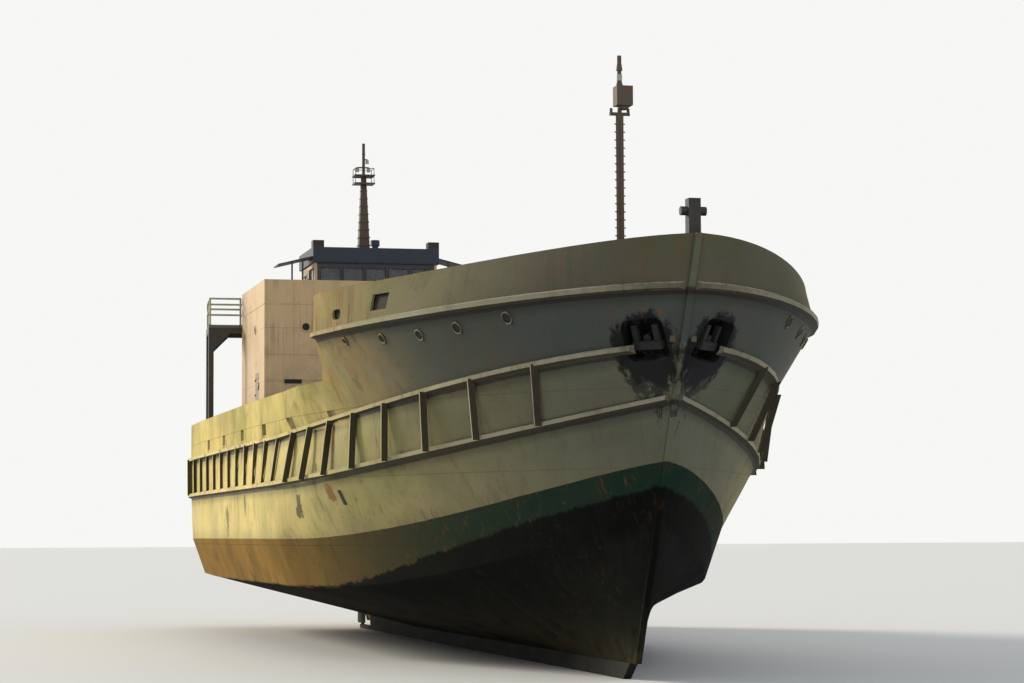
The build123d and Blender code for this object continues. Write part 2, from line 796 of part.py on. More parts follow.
for side, side_name in ((1, "port"), (-1, "starboard")):
    with BuildPart() as side_wall:
        with BuildSketch(Plane.XZ.offset(-side * house_half_width)):
            with Locations(((house_front_x + house_back_x) / 2, (main_deck_z + wall_top_z) / 2)):
                Rectangle(house_front_x - house_back_x, wall_top_z - main_deck_z)
            with Locations((door_x - door_width / 2, door_low_z + door_height / 2)):
                Rectangle(door_width, door_height, mode=Mode.SUBTRACT)
        extrude(amount=side * wall_thickness)
        for z in barrel_zs(door_low_z, door_height):
            with BuildSketch(Plane.XY.offset(z)):
                pin = (door_x, side * (house_half_width + barrel_radius + pin_gap))
                Polygon(*lug_corners(pin, (1, 0), (0, side)), align=None)
            extrude(amount=barrel_length)
    save(side_wall.part, f"house_wall_{side_name}")
    with BuildPart() as door:
        with BuildSketch(Plane.XZ.offset(-side * house_half_width)):
            with Locations((door_x - door_width / 2, door_low_z + door_height / 2)):
                Rectangle(door_width - 2 * door_gap, door_height - 2 * door_gap)
        extrude(amount=side * door_thickness)
        for z in barrel_zs(door_low_z, door_height):
            low_z = z - barrel_length / 2 - hinge_seat
            with Locations((door_x, side * (house_half_width + barrel_radius + pin_gap), low_z)):
                Cylinder(barrel_radius, barrel_length)
            with Locations((door_x - 50, side * (house_half_width + barrel_radius / 2 + pin_gap / 2), low_z)):
                Box(100, barrel_radius + pin_gap, barrel_length)
    save(door.part, f"house_door_{side_name}")
with BuildPart() as house_front:
    with BuildSketch(Plane.YZ.offset(house_front_x - wall_thickness)):
        with Locations((0, (main_deck_z + wall_top_z) / 2)):
            Rectangle(2 * inner_half, wall_top_z - main_deck_z)
    extrude(amount=wall_thickness)
save(house_front.part, "house_front")
with BuildPart() as house_back:
    with BuildSketch(Plane.YZ.offset(house_back_x)):
        with Locations((0, (main_deck_z + bridge_deck_z - deck_thickness) / 2)):
            Rectangle(2 * inner_half, bridge_deck_z - deck_thickness - main_deck_z)
    extrude(amount=wall_thickness)
save(house_back.part, "house_back")
casing_top_z = bridge_deck_z - deck_thickness
for side, side_name in ((1, "port"), (-1, "starboard")):
    with BuildPart() as casing_wall:
        with BuildSketch(Plane.XZ.offset(-side * casing_half_width)):
            with Locations(((house_back_x + casing_back_x) / 2, (main_deck_z + casing_top_z) / 2)):
                Rectangle(house_back_x - casing_back_x, casing_top_z - main_deck_z)
        extrude(amount=side * wall_thickness)
    save(casing_wall.part, f"casing_wall_{side_name}")
with BuildPart() as casing_back:
    with BuildSketch(Plane.YZ.offset(casing_back_x)):
        with Locations((0, (main_deck_z + casing_top_z) / 2)):
            Rectangle(2 * (casing_half_width - wall_thickness), casing_top_z - main_deck_z)
        with Locations((0, door_low_z + door_height / 2)):
            Rectangle(door_width, door_height, mode=Mode.SUBTRACT)
    extrude(amount=wall_thickness)
    for z in barrel_zs(door_low_z, door_height):
        with BuildSketch(Plane.XY.offset(z)):
            pin = (casing_back_x - barrel_radius - pin_gap, door_width / 2)
            Polygon(*lug_corners(pin, (0, 1), (-1, 0)), align=None)
        extrude(amount=barrel_length)
save(casing_back.part, "casing_back")
with BuildPart() as casing_door:
    with BuildSketch(Plane.YZ.offset(casing_back_x)):
        with Locations((0, door_low_z + door_height / 2)):
            Rectangle(door_width - 2 * door_gap, door_height - 2 * door_gap)
    extrude(amount=door_thickness)
    for z in barrel_zs(door_low_z, door_height):
        low_z = z - barrel_length / 2 - hinge_seat
        with Locations((casing_back_x - barrel_radius - pin_gap, door_width / 2, low_z)):
            Cylinder(barrel_radius, barrel_length)
        with Locations((casing_back_x - barrel_radius / 2 - pin_gap / 2, door_width / 2 - 50, low_z)):
            Box(barrel_radius + pin_gap, 100, barrel_length)
save(casing_door.part, "casing_door")

# Bridge deck, with a wing at each side, and the legs under the wings
deck_back_x = casing_back_x - 250
deck_back_half = casing_half_width + 500
with BuildPart() as bridge_deck:
    with BuildSketch(Plane.XY.offset(bridge_deck_z - deck_thickness)):
        with BuildLine():
            half = [
                (house_front_x - wall_thickness, inner_half),
                (wing_front_x, inner_half),
                (wing_front_x, wing_half_width),
                (wing_back_x, wing_back_half_width),
                (wing_back_x, deck_back_half),
                (deck_back_x, deck_back_half),
            ]
            Polyline(*half, *[(x, -y) for x, y in reversed(half)], close=True)
        make_face()
    extrude(amount=deck_thickness)
save(bridge_deck.part, "bridge_deck")
for side, side_name in ((1, "port"), (-1, "starboard")):
    with BuildPart() as legs:
        for x, half_width in ((wing_front_x, wing_half_width), (wing_back_x + leg_size, wing_back_half_width)):
            with BuildSketch(Plane.YZ.offset(x - leg_size)):
                with BuildLine():
                    Polyline(
                        (side * half_width, main_deck_z),
                        (side * half_width, bridge_deck_z - deck_thickness),
                        (side * (casing_half_width), bridge_deck_z - deck_thickness),
                        (side * (casing_half_width), bridge_deck_z - deck_thickness - leg_size),
                        (side * (half_width - gusset), bridge_deck_z - deck_thickness - leg_size),
                        (side * (half_width - leg_size), bridge_deck_z - deck_thickness - gusset),
                        (side * (half_width - leg_size), main_deck_z),
                        close=True,
                    )
                make_face()
            extrude(amount=leg_size)
        with BuildSketch(Plane.XY.offset(bridge_deck_z - deck_thickness)):
            with BuildLine():
                Polyline(
                    (wing_front_x, side * wing_half_width),
                    (wing_back_x, side * wing_back_half_width),
                    (wing_back_x, side * (wing_back_half_width - leg_size)),
                    (wing_front_x, side * (wing_half_width - leg_size)),
                    close=True,
                )
            make_face()
        extrude(amount=-leg_size)
    save(legs.part, f"wing_frames_{side_name}")

# Guard rails round the wings and the after part of the bridge deck, open at the ladder on the port wing
wing_front_rail = wing_front_x - rail_inset
wing_back_rail = wing_back_x + rail_inset
wing_rail = wing_half_width - rail_inset
wing_back_rail_y = wing_back_half_width - rail_inset
deck_back_rail = deck_back_half - rail_inset
rail_paths = (
    (
        (wing_front_rail, -house_half_width - rail_inset),
        (wing_front_rail, -wing_rail),
        (wing_back_rail, -wing_back_rail_y),
        (wing_back_rail, -deck_back_rail),
        (deck_back_x + rail_inset, -deck_back_rail),
        (deck_back_x + rail_inset, deck_back_rail),
        (wing_back_rail, deck_back_rail),
        (wing_back_rail, bridge_ladder_y - ladder_gap),
    ),
    (
        (wing_front_rail, house_half_width + rail_inset),
        (wing_front_rail, wing_rail),
        (wing_back_rail, wing_back_rail_y),
        (wing_back_rail, bridge_ladder_y + ladder_gap),
    ),
)
with BuildPart() as bridge_rails:
    for path in rail_paths:
        for (x0, y0), (x1, y1) in zip(path, path[1:]):
            run = math.hypot(x1 - x0, y1 - y0)
            turn = math.degrees(math.atan2(y1 - y0, x1 - x0))
            count = math.ceil(run / rail_post_pitch)
            with BuildSketch(Plane.XY.offset(bridge_deck_z)):
                for i in range(count + 1):
                    with Locations((x0 + (x1 - x0) * i / count, y0 + (y1 - y0) * i / count)):
                        Rectangle(rail_size, rail_size)
            extrude(amount=rail_height)
            for height in rail_bars:
                with BuildSketch(Plane.XY.offset(bridge_deck_z + height - rail_size)):
                    with Locations(((x0 + x1) / 2, (y0 + y1) / 2)):
                        Rectangle(run + rail_size, rail_size, rotation=turn)
                extrude(amount=rail_size)
save(bridge_rails.part, "bridge_rails")
with BuildPart() as ladders:
    for face_x, y, top_z in (
        (break_x, forecastle_ladder_y, knuckle_z),
        (wing_back_x, bridge_ladder_y, bridge_deck_z + rail_height),
    ):
        height = top_z - main_deck_z
        for share in (-0.5, 0.5):
            with Locations((face_x - ladder_bar, y + share * (ladder_width - ladder_bar), main_deck_z + height / 2)):
                Box(2 * ladder_bar, ladder_bar, height)
        for i in range(int(height / ladder_rung_pitch)):
            with Locations((face_x - 1.25 * ladder_bar, y, main_deck_z + (i + 0.8) * ladder_rung_pitch)):
                Box(ladder_bar, ladder_width - ladder_bar, 0.7 * ladder_bar)
save(ladders.part, "ladders")

# Wheelhouse
wheel_wall_top = bridge_deck_z + wheelhouse_height
wheel_inner = wheelhouse_half_width - wall_thickness
window_z = bridge_deck_z + window_sill + window_height / 2
front_window_width = (2 * wheel_inner - (front_windows + 1) * mullion) / front_windows
with BuildPart() as wheelhouse_front:
    with BuildSketch(Plane.YZ.offset(wheelhouse_front_x - wall_thickness)):
        with Locations((0, bridge_deck_z + wheelhouse_height / 2)):
            Rectangle(2 * wheel_inner, wheelhouse_height)
        for i in range(front_windows):
            with Locations(((i - (front_windows - 1) / 2) * (front_window_width + mullion), window_z)):
                Rectangle(front_window_width, window_height, mode=Mode.SUBTRACT)
    extrude(amount=wall_thickness)
save(wheelhouse_front.part, "wheelhouse_front")
with BuildPart() as wheelhouse_back:
    with BuildSketch(Plane.YZ.offset(wheelhouse_back_x)):
        with Locations((0, bridge_deck_z + wheelhouse_height / 2)):
            Rectangle(2 * wheel_inner, wheelhouse_height)
        with Locations((-back_window_y, window_z), (back_window_y, window_z)):
            Rectangle(front_window_width, window_height, mode=Mode.SUBTRACT)
    extrude(amount=wall_thickness)
save(wheelhouse_back.part, "wheelhouse_back")
wheel_door_x = wheelhouse_front_x - 1300
wheel_door_low = bridge_deck_z + 120
side_window_x = wheelhouse_front_x - 650
for side, side_name in ((1, "port"), (-1, "starboard")):
    with BuildPart() as wheel_wall:
        with BuildSketch(Plane.XZ.offset(-side * wheelhouse_half_width)):
            with Locations(((wheelhouse_front_x + wheelhouse_back_x) / 2, bridge_deck_z + wheelhouse_height / 2)):
                Rectangle(wheelhouse_front_x - wheelhouse_back_x, wheelhouse_height)
            with Locations((side_window_x, window_z)):
                Rectangle(side_window_width, window_height, mode=Mode.SUBTRACT)
            with Locations((wheel_door_x - door_width / 2, wheel_door_low + door_height / 2)):
                Rectangle(door_width, door_height, mode=Mode.SUBTRACT)
        extrude(amount=side * wall_thickness)
        barrel_y = side * (wheelhouse_half_width + barrel_radius + pin_gap)
        for z in barrel_zs(wheel_door_low, door_height):
            with BuildSketch(Plane.XY.offset(z)):
                Polygon(*lug_corners((wheel_door_x, barrel_y), (1, 0), (0, side)), align=None)
            extrude(amount=barrel_length)
    save(wheel_wall.part, f"wheelhouse_wall_{side_name}")
    with BuildPart() as wheel_door:
        with BuildSketch(Plane.XZ.offset(-side * wheelhouse_half_width)):
            with Locations((wheel_door_x - door_width / 2, wheel_door_low + door_height / 2)):
                Rectangle(door_width - 2 * door_gap, door_height - 2 * door_gap)
            with Locations((wheel_door_x - door_width / 2, window_z)):
                Rectangle(door_window_width, door_window_height, mode=Mode.SUBTRACT)
        extrude(amount=side * door_thickness)
        for z in barrel_zs(wheel_door_low, door_height):
            low_z = z - barrel_length / 2 - hinge_seat
            with Locations((wheel_door_x, barrel_y, low_z)):
                Cylinder(barrel_radius, barrel_length)
            with Locations((wheel_door_x - 50, barrel_y - side * barrel_radius / 2 - side * pin_gap / 2, low_z)):
                Box(100, barrel_radius + pin_gap, barrel_length)
    save(wheel_door.part, f"wheelhouse_door_{side_name}")
roof_top_z = wheel_wall_top + roof_thickness
with BuildPart() as wheelhouse_roof:
    with BuildSketch(Plane.XY.offset(wheel_wall_top)):
        with Locations(((wheelhouse_front_x + wheelhouse_back_x) / 2, 0)):
            Rectangle(
                wheelhouse_front_x - wheelhouse_back_x + 2 * roof_overhang,
                2 * (wheelhouse_half_width + roof_overhang),
            )
    extrude(amount=roof_thickness)
    for radius, step in ((0.7 * roof_vent_radius, 0), (roof_vent_radius, roof_vent_height / 2)):
        with BuildSketch(Plane.XY.offset(roof_top_z + step)):
            with Locations(roof_vent_place):
                Circle(radius)
        extrude(amount=roof_vent_height / 2)
save(wheelhouse_roof.part, "wheelhouse_roof")
roof_half_width = wheelhouse_half_width + roof_overhang
with BuildPart() as sidelight_boxes:
    for side in (1, -1):
        with Locations(
            (
                wheelhouse_front_x + roof_overhang - sidelight_box[0] / 2,
                side * (roof_half_width - sidelight_box[1] / 2),
                roof_top_z + sidelight_box[2] / 2,
            )
        ):
            Box(*sidelight_box)
save(sidelight_boxes.part, "sidelight_boxes")

# Awnings beside the wheelhouse, each on two posts
with BuildPart() as awnings:
    for side in (1, -1):
        with BuildSketch(Plane.YZ.offset(wheelhouse_front_x)):
            with BuildLine():
                Polyline(
                    (side * roof_half_width, awning_root_z),
                    (side * awning_half_width, awning_edge_z),
                    (side * awning_half_width, awning_edge_z - awning_thickness),
                    (side * roof_half_width, awning_root_z - awning_thickness),
                    close=True,
                )
            make_face()
        extrude(amount=-awning_length)
        for y in awning_post_ys:
            share = (y + awning_post_size / 2 - roof_half_width) / (awning_half_width - roof_half_width)
            top_z = awning_root_z - share * (awning_root_z - awning_edge_z) - awning_thickness / 4
            with BuildSketch(Plane.XY.offset(bridge_deck_z)):
                with Locations((wheelhouse_front_x - awning_post_size, side * y)):
                    Rectangle(awning_post_size, awning_post_size)
            extrude(amount=top_z - bridge_deck_z)
save(awnings.part, "awnings")
with BuildPart() as front_glass:
    with BuildSketch(Plane.YZ.offset(wheelhouse_front_x - wall_thickness / 2)):
        for i in range(front_windows):
            with Locations(((i - (front_windows - 1) / 2) * (front_window_width + mullion), window_z)):
                Rectangle(front_window_width, window_height)
    extrude(amount=glass_thickness / 2, both=True)
save(front_glass.part, "wheelhouse_glass_front")
with BuildPart() as back_glass:
    with BuildSketch(Plane.YZ.offset(wheelhouse_back_x + wall_thickness / 2)):
        with Locations((-back_window_y, window_z), (back_window_y, window_z)):
            Rectangle(front_window_width, window_height)
    extrude(amount=glass_thickness / 2, both=True)
save(back_glass.part, "wheelhouse_glass_back")
for side, side_name in ((1, "port"), (-1, "starboard")):
    with BuildPart() as side_glass:
        with BuildSketch(Plane.XZ.offset(-side * (wheelhouse_half_width - wall_thickness / 2))):
            with Locations((side_window_x, window_z)):
                Rectangle(side_window_width, window_height)
        extrude(amount=glass_thickness / 2, both=True)
    save(side_glass.part, f"wheelhouse_glass_{side_name}")
    with BuildPart() as door_glass:
        with BuildSketch(Plane.XZ.offset(-side * (wheelhouse_half_width - door_thickness / 2))):
            with Locations((wheel_door_x - door_width / 2, window_z)):
                Rectangle(door_window_width, door_window_height)
        extrude(amount=glass_thickness / 2, both=True)
    save(door_glass.part, f"wheelhouse_door_glass_{side_name}")

# Main mast on the wheelhouse roof, with two small platforms


def mast_square(size, z):
    """Square outline round the main mast's middle at a height."""
    half = size / 2
    return [Vector(mainmast_x + a * half, b * half, z) for a, b in ((1, 1), (-1, 1), (-1, -1), (1, -1))]


with BuildPart() as mainmast:
    add(plate_over([mast_square(mainmast_foot, roof_top_z), mast_square(mainmast_head, platform_z + platform_gap)]))
    for z in (platform_z, platform_z + platform_gap):
        with Locations((mainmast_x, 0, z + platform[2] / 2)):
            Box(*platform)
    with BuildSketch(Plane.XY.offset(platform_z + platform_gap)):
        with Locations((mainmast_x, 0)):
            Circle(45)
    extrude(amount=mainmast_top_z - platform_z - platform_gap)
save(mainmast.part, "mainmast")
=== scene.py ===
import json
import math

import bmesh
import bpy
from mathutils import Matrix, Vector

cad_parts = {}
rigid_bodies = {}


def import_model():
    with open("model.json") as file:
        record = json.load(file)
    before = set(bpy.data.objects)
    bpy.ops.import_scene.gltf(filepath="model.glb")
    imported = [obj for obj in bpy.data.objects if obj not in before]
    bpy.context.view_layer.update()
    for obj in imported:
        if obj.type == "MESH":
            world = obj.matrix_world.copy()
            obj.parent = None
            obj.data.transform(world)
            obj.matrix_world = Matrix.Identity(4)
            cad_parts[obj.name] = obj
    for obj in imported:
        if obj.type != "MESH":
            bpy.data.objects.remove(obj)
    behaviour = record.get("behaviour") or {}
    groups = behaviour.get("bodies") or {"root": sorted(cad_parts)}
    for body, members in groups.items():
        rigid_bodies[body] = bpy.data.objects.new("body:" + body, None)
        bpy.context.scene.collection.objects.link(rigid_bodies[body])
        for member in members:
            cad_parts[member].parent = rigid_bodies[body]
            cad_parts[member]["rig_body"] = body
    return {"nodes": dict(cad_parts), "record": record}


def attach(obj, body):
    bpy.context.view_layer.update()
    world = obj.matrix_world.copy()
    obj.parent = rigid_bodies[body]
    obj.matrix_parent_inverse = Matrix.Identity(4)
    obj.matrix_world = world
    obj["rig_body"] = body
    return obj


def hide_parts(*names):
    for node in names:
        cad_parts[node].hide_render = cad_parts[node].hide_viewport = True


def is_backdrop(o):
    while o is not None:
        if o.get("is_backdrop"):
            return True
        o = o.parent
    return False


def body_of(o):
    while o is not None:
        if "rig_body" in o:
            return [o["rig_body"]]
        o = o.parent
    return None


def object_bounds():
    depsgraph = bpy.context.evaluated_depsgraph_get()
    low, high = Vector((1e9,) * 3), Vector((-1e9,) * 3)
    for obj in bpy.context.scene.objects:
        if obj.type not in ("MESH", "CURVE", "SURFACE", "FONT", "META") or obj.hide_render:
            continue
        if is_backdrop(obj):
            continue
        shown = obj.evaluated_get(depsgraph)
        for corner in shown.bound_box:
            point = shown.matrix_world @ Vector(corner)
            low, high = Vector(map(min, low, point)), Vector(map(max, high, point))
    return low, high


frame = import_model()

cad_low, cad_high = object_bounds()
nodes = frame["nodes"]

# The hull's form, in metres, as the plating follows it

STEM_HEAD = (17.75, 4.56)
RAKE = 0.534
# line: (full half breadth, entrance, fore power, aft power, stem height, midship height, sweep, breadth at the stem)
HULL_LINES = {
    "chine": (4.75, 14.4, 1.50, 1.25, 0.45, -0.92, 11.2, 0.066),
    "boot_top": (5.12, 14.6, 1.37, 1.38, 1.52, 0.15, 12.2, 0.072),
    "lower_strake": (5.17, 15.5, 2.47, 1.03, 2.66, 1.40, 13.5, 0.080),
    "upper_strake": (5.18, 27.3, 3.65, 1.67, 3.54, 2.44, 18.0, 0.088),
    "knuckle": (5.18, 9.35, 1.48, 1.68, 4.56, 4.33, 9.5, 0.100),
    "rail": (5.18, 8.95, 1.05, 1.62, 5.43, 5.16, 9.5, 0.112),
}
SIDES = ((1, "port"), (-1, "starboard"))
MAIN_DECK_Z = 2.5
BREAK_X = 8.15
BULWARK_THICKNESS = 0.06
STRAKE_HALF, STRAKE_END_X = 0.09, -17.6
HOUSE_FRONT_X, HOUSE_HALF_WIDTH = -6.75, 4.15
FREEING_PORTS = (6.9, 3.6, 0.1, -3.4, -7.0, -10.4)
POCKET, POCKET_DRIP = (16.99, 0.64, 3.60), (16.74, 0.56, 3.10)
# scuffs low on the starboard side: place on the plating, reach, tone
SCUFFS = (
    ((4.19, 4.88, 0.92), 0.20, (0.030, 0.026, 0.018, 1)),
    ((6.45, 4.55, 1.15), 0.20, (0.20, 0.075, 0.025, 1)),
    ((5.66, 4.83, 1.69), 0.14, (0.060, 0.045, 0.025, 1)),
    ((-2.88, 5.16, 1.09), 0.20, (0.11, 0.105, 0.045, 1)),
    ((-6.44, 5.14, 0.74), 0.30, (0.12, 0.11, 0.045, 1)),
)
UP = Vector((0, 0, 1))


def stem_at(z):
    """Place of the stem at a height."""
    return STEM_HEAD[0] - (STEM_HEAD[1] - z) * RAKE


def line_at(name, distance):
    """Half breadth and height of a hull line, a distance aft of the stem."""
    full, entrance, fore, aft, stem_z, midship_z, sweep, stem_y = HULL_LINES[name]
    u = min(max(distance, 0.0) / entrance, 1.0)
    v = min(max(distance, 0.0) / sweep, 1.0)
    breadth = full * (1 - (1 - u) ** fore) ** (1 / aft)
    return max(breadth, stem_y), midship_z + (stem_z - midship_z) * (1 - v) ** 2


def plating(x, z, side, panel=None):
    """Point of the plating at a place along the ship and a height, on one panel between two lines if it is named."""
    distance = stem_at(z) - x
    points = [line_at(name, distance) for name in HULL_LINES]
    for i, ((y0, z0), (y1, z1)) in enumerate(zip(points, points[1:])):
        if i == panel or (panel is None and z0 <= z <= z1):
            return Vector((x, side * (y0 + (y1 - y0) * (z - z0) / (z1 - z0)), z))
    return Vector((x, side * points[-1][0], z))


def panel_at(x, z):
    """Number of the panel there, counted from the chine, or None."""
    levels = [line_at(name, stem_at(z) - x)[1] for name in HULL_LINES]
    return next((i for i in range(len(levels) - 1) if levels[i] <= z <= levels[i + 1]), None)


def plating_normal(x, z, side, panel=None, reach=0.05):
    """Outward direction of the plating there, taken over a short reach each way."""
    fore = plating(x + reach, z, side, panel) - plating(x - reach, z, side, panel)
    up = plating(x, z + reach, side, panel) - plating(x, z - reach, side, panel)
    normal = fore.cross(up).normalized()
    return normal if normal.y * side > 0 else -normal


# sockets of a Mix node that mixes colours
MIX_AMOUNT, MIX_A, MIX_B, MIXED = 0, 6, 7, 2


class Wiring:
    """Short words for building a node tree."""

    def __init__(self, tree):
        self.tree = tree

    def add(self, kind, given=None, **settings):
        """New node with its settings, and with what its inputs are given."""
        node = self.tree.nodes.new(kind)
        for key, value in settings.items():
            setattr(node, key, value)
        self.fill(node, given or {})
        return node

    def fill(self, node, given):
        """Gives inputs of a node, by their labels, a value or a link each."""
        for label, value in given.items():
            self.put(node.inputs[label], value)

    def put(self, socket, value):
        if isinstance(value, bpy.types.NodeSocket):
            self.tree.links.new(value, socket)
        else:
            socket.default_value = value

    def math(self, operation, a, b=0.0, clamp=False):
        return self.add("ShaderNodeMath", {0: a, 1: b}, operation=operation, use_clamp=clamp).outputs[0]

    def plus(self, a, b, clamp=False):
        return self.math("ADD", a, b, clamp)

    def minus(self, a, b, clamp=False):
        return self.math("SUBTRACT", a, b, clamp)

    def times(self, product, *factors, clamp=False):
        for factor in factors:
            product = self.math("MULTIPLY", product, factor, clamp)
        return product

    def ratio(self, a, b):
        return self.math("DIVIDE", a, b)

    def most(self, a, b):
        return self.math("MAXIMUM", a, b)

    def vector(self, operation, a, b=(0, 0, 0)):
        return self.add("ShaderNodeVectorMath", {0: a, 1: b}, operation=operation).outputs

    def mix(self, amount, a, b, blend="MIX"):
        given = {MIX_AMOUNT: amount, MIX_A: a, MIX_B: b}
        return self.add("ShaderNodeMix", given, data_type="RGBA", blend_type=blend).outputs[MIXED]

    def noise(self, vector, scale, detail=4.0, roughness=0.55):
        given = {"Vector": vector, "Scale": scale, "Detail": detail, "Roughness": roughness}
        return self.add("ShaderNodeTexNoise", given).outputs["Fac"]

    def sway(self, noise, amount):
        """Noise brought to both sides of nought."""
        return self.times(self.minus(noise, 0.5), amount)

    def stretch(self, vector, scale):
        return self.add("ShaderNodeMapping", {"Vector": vector, "Scale": scale}).outputs["Vector"]

    def step(self, value, low, high):
        given = {"Value": value, "From Min": low, "From Max": high}
        return self.add("ShaderNodeMapRange", given, interpolation_type="SMOOTHSTEP").outputs["Result"]

    def parts(self, vector):
        return tuple(self.add("ShaderNodeSeparateXYZ", {0: vector}).outputs)

    def join(self, x, y, z):
        return self.add("ShaderNodeCombineXYZ", {0: x, 1: y, 2: z}).outputs[0]

    def place(self):
        """Object coordinates, and their three parts."""
        here = self.add("ShaderNodeTexCoord").outputs["Object"]
        return here, *self.parts(here)


COLOUR, FLOAT, VECTOR = "NodeSocketColor", "NodeSocketFloat", "NodeSocketVector"


def group(name, inputs, outputs, kind="ShaderNodeTree"):
    """Empty node group with named inputs and outputs."""
    tree = bpy.data.node_groups.new(name, kind)
    for label, socket_type, value in inputs:
        socket = tree.interface.new_socket(label, in_out="INPUT", socket_type=socket_type)
        if value is not None:
            socket.default_value = value
    for label, socket_type in outputs:
        tree.interface.new_socket(label, in_out="OUTPUT", socket_type=socket_type)
    wiring = Wiring(tree)
    return tree, wiring, wiring.add("NodeGroupInput").outputs, wiring.add("NodeGroupOutput").inputs


PLATE_LENGTH, PLATE_HEIGHT, SEAM_WIDTH = 5.2, 1.42, 0.012


def make_weather():
    """Paint that has stood outdoors: blotches, runs down from above, rust and the seams of the plating."""
    tree, w, given, result = group(
        "weathered paint",
        [
            ("Paint", COLOUR, (0.5, 0.5, 0.5, 1)),
            ("Grime", COLOUR, (0.12, 0.12, 0.09, 1)),
            ("Rust", COLOUR, (0.20, 0.070, 0.022, 1)),
            ("Grime Amount", FLOAT, 0.5),
            ("Run Amount", FLOAT, 0.5),
            ("Rust Amount", FLOAT, 0.3),
            ("Seam Amount", FLOAT, 0.4),
            ("Shine", FLOAT, 0.5),
        ],
        [("Color", COLOUR), ("Roughness", FLOAT), ("Height", FLOAT)],
    )
    place, x, y, z = w.place()
    blotch = w.step(w.noise(place, 0.42, 7.0, 0.62), 0.40, 0.70)
    patch = w.step(w.noise(place, 1.6, 6.0, 0.6), 0.46, 0.66)
    fine = w.noise(place, 9.0, 6.0, 0.7)
    wide_runs = w.step(w.noise(w.stretch(place, (2.6, 2.6, 0.16)), 1.5, 5.0, 0.6), 0.48, 0.74)
    thin_runs = w.step(w.noise(w.stretch(place, (9.0, 9.0, 0.35)), 1.3, 4.0, 0.6), 0.54, 0.72)
    gate = w.step(w.noise(place, 0.8, 3.0), 0.38, 0.64)
    spots = w.step(w.noise(place, 3.4, 8.0, 0.75), 0.60, 0.68)
    dirt = w.times(w.most(blotch, w.times(patch, 0.45)), given["Grime Amount"])
    colour = w.mix(dirt, given["Paint"], given["Grime"])
    colour = w.mix(w.times(wide_runs, gate, given["Run Amount"]), colour, given["Grime"])
    rust_here = w.most(w.times(thin_runs, gate), spots)
    colour = w.mix(w.times(rust_here, given["Rust Amount"], clamp=True), colour, given["Rust"])
    plates = w.add("ShaderNodeTexBrick", {
        "Vector": w.join(w.plus(x, y), z, 0.0), "Scale": 1.0, "Mortar Size": SEAM_WIDTH, "Mortar Smooth": 0.7,
        "Brick Width": PLATE_LENGTH, "Row Height": PLATE_HEIGHT,
    }, offset=0.37)
    seam = w.times(plates.outputs["Fac"], given["Seam Amount"])
    colour = w.mix(w.times(seam, 0.6), colour, given["Grime"])
    darker = w.mix(1.0, colour, (0.52, 0.50, 0.46, 1), "MULTIPLY")
    w.put(result["Color"], w.mix(w.times(fine, 0.22), colour, darker))
    rough = w.plus(w.times(rust_here, 0.25), w.times(fine, 0.14))
    w.put(result["Roughness"], w.plus(rough, given["Shine"], clamp=True))
    dent = w.times(w.noise(place, 0.9, 2.0), 0.5)
    w.put(result["Height"], w.minus(w.plus(dent, w.times(fine, 0.06)), w.times(seam, 0.35)))
    return tree


ZONE_LABELS = ("Boot", "Under", "Deck", "Aft", "Wet", "FlareShade", "Foot", "Shade", "HiddenShade", "Break")


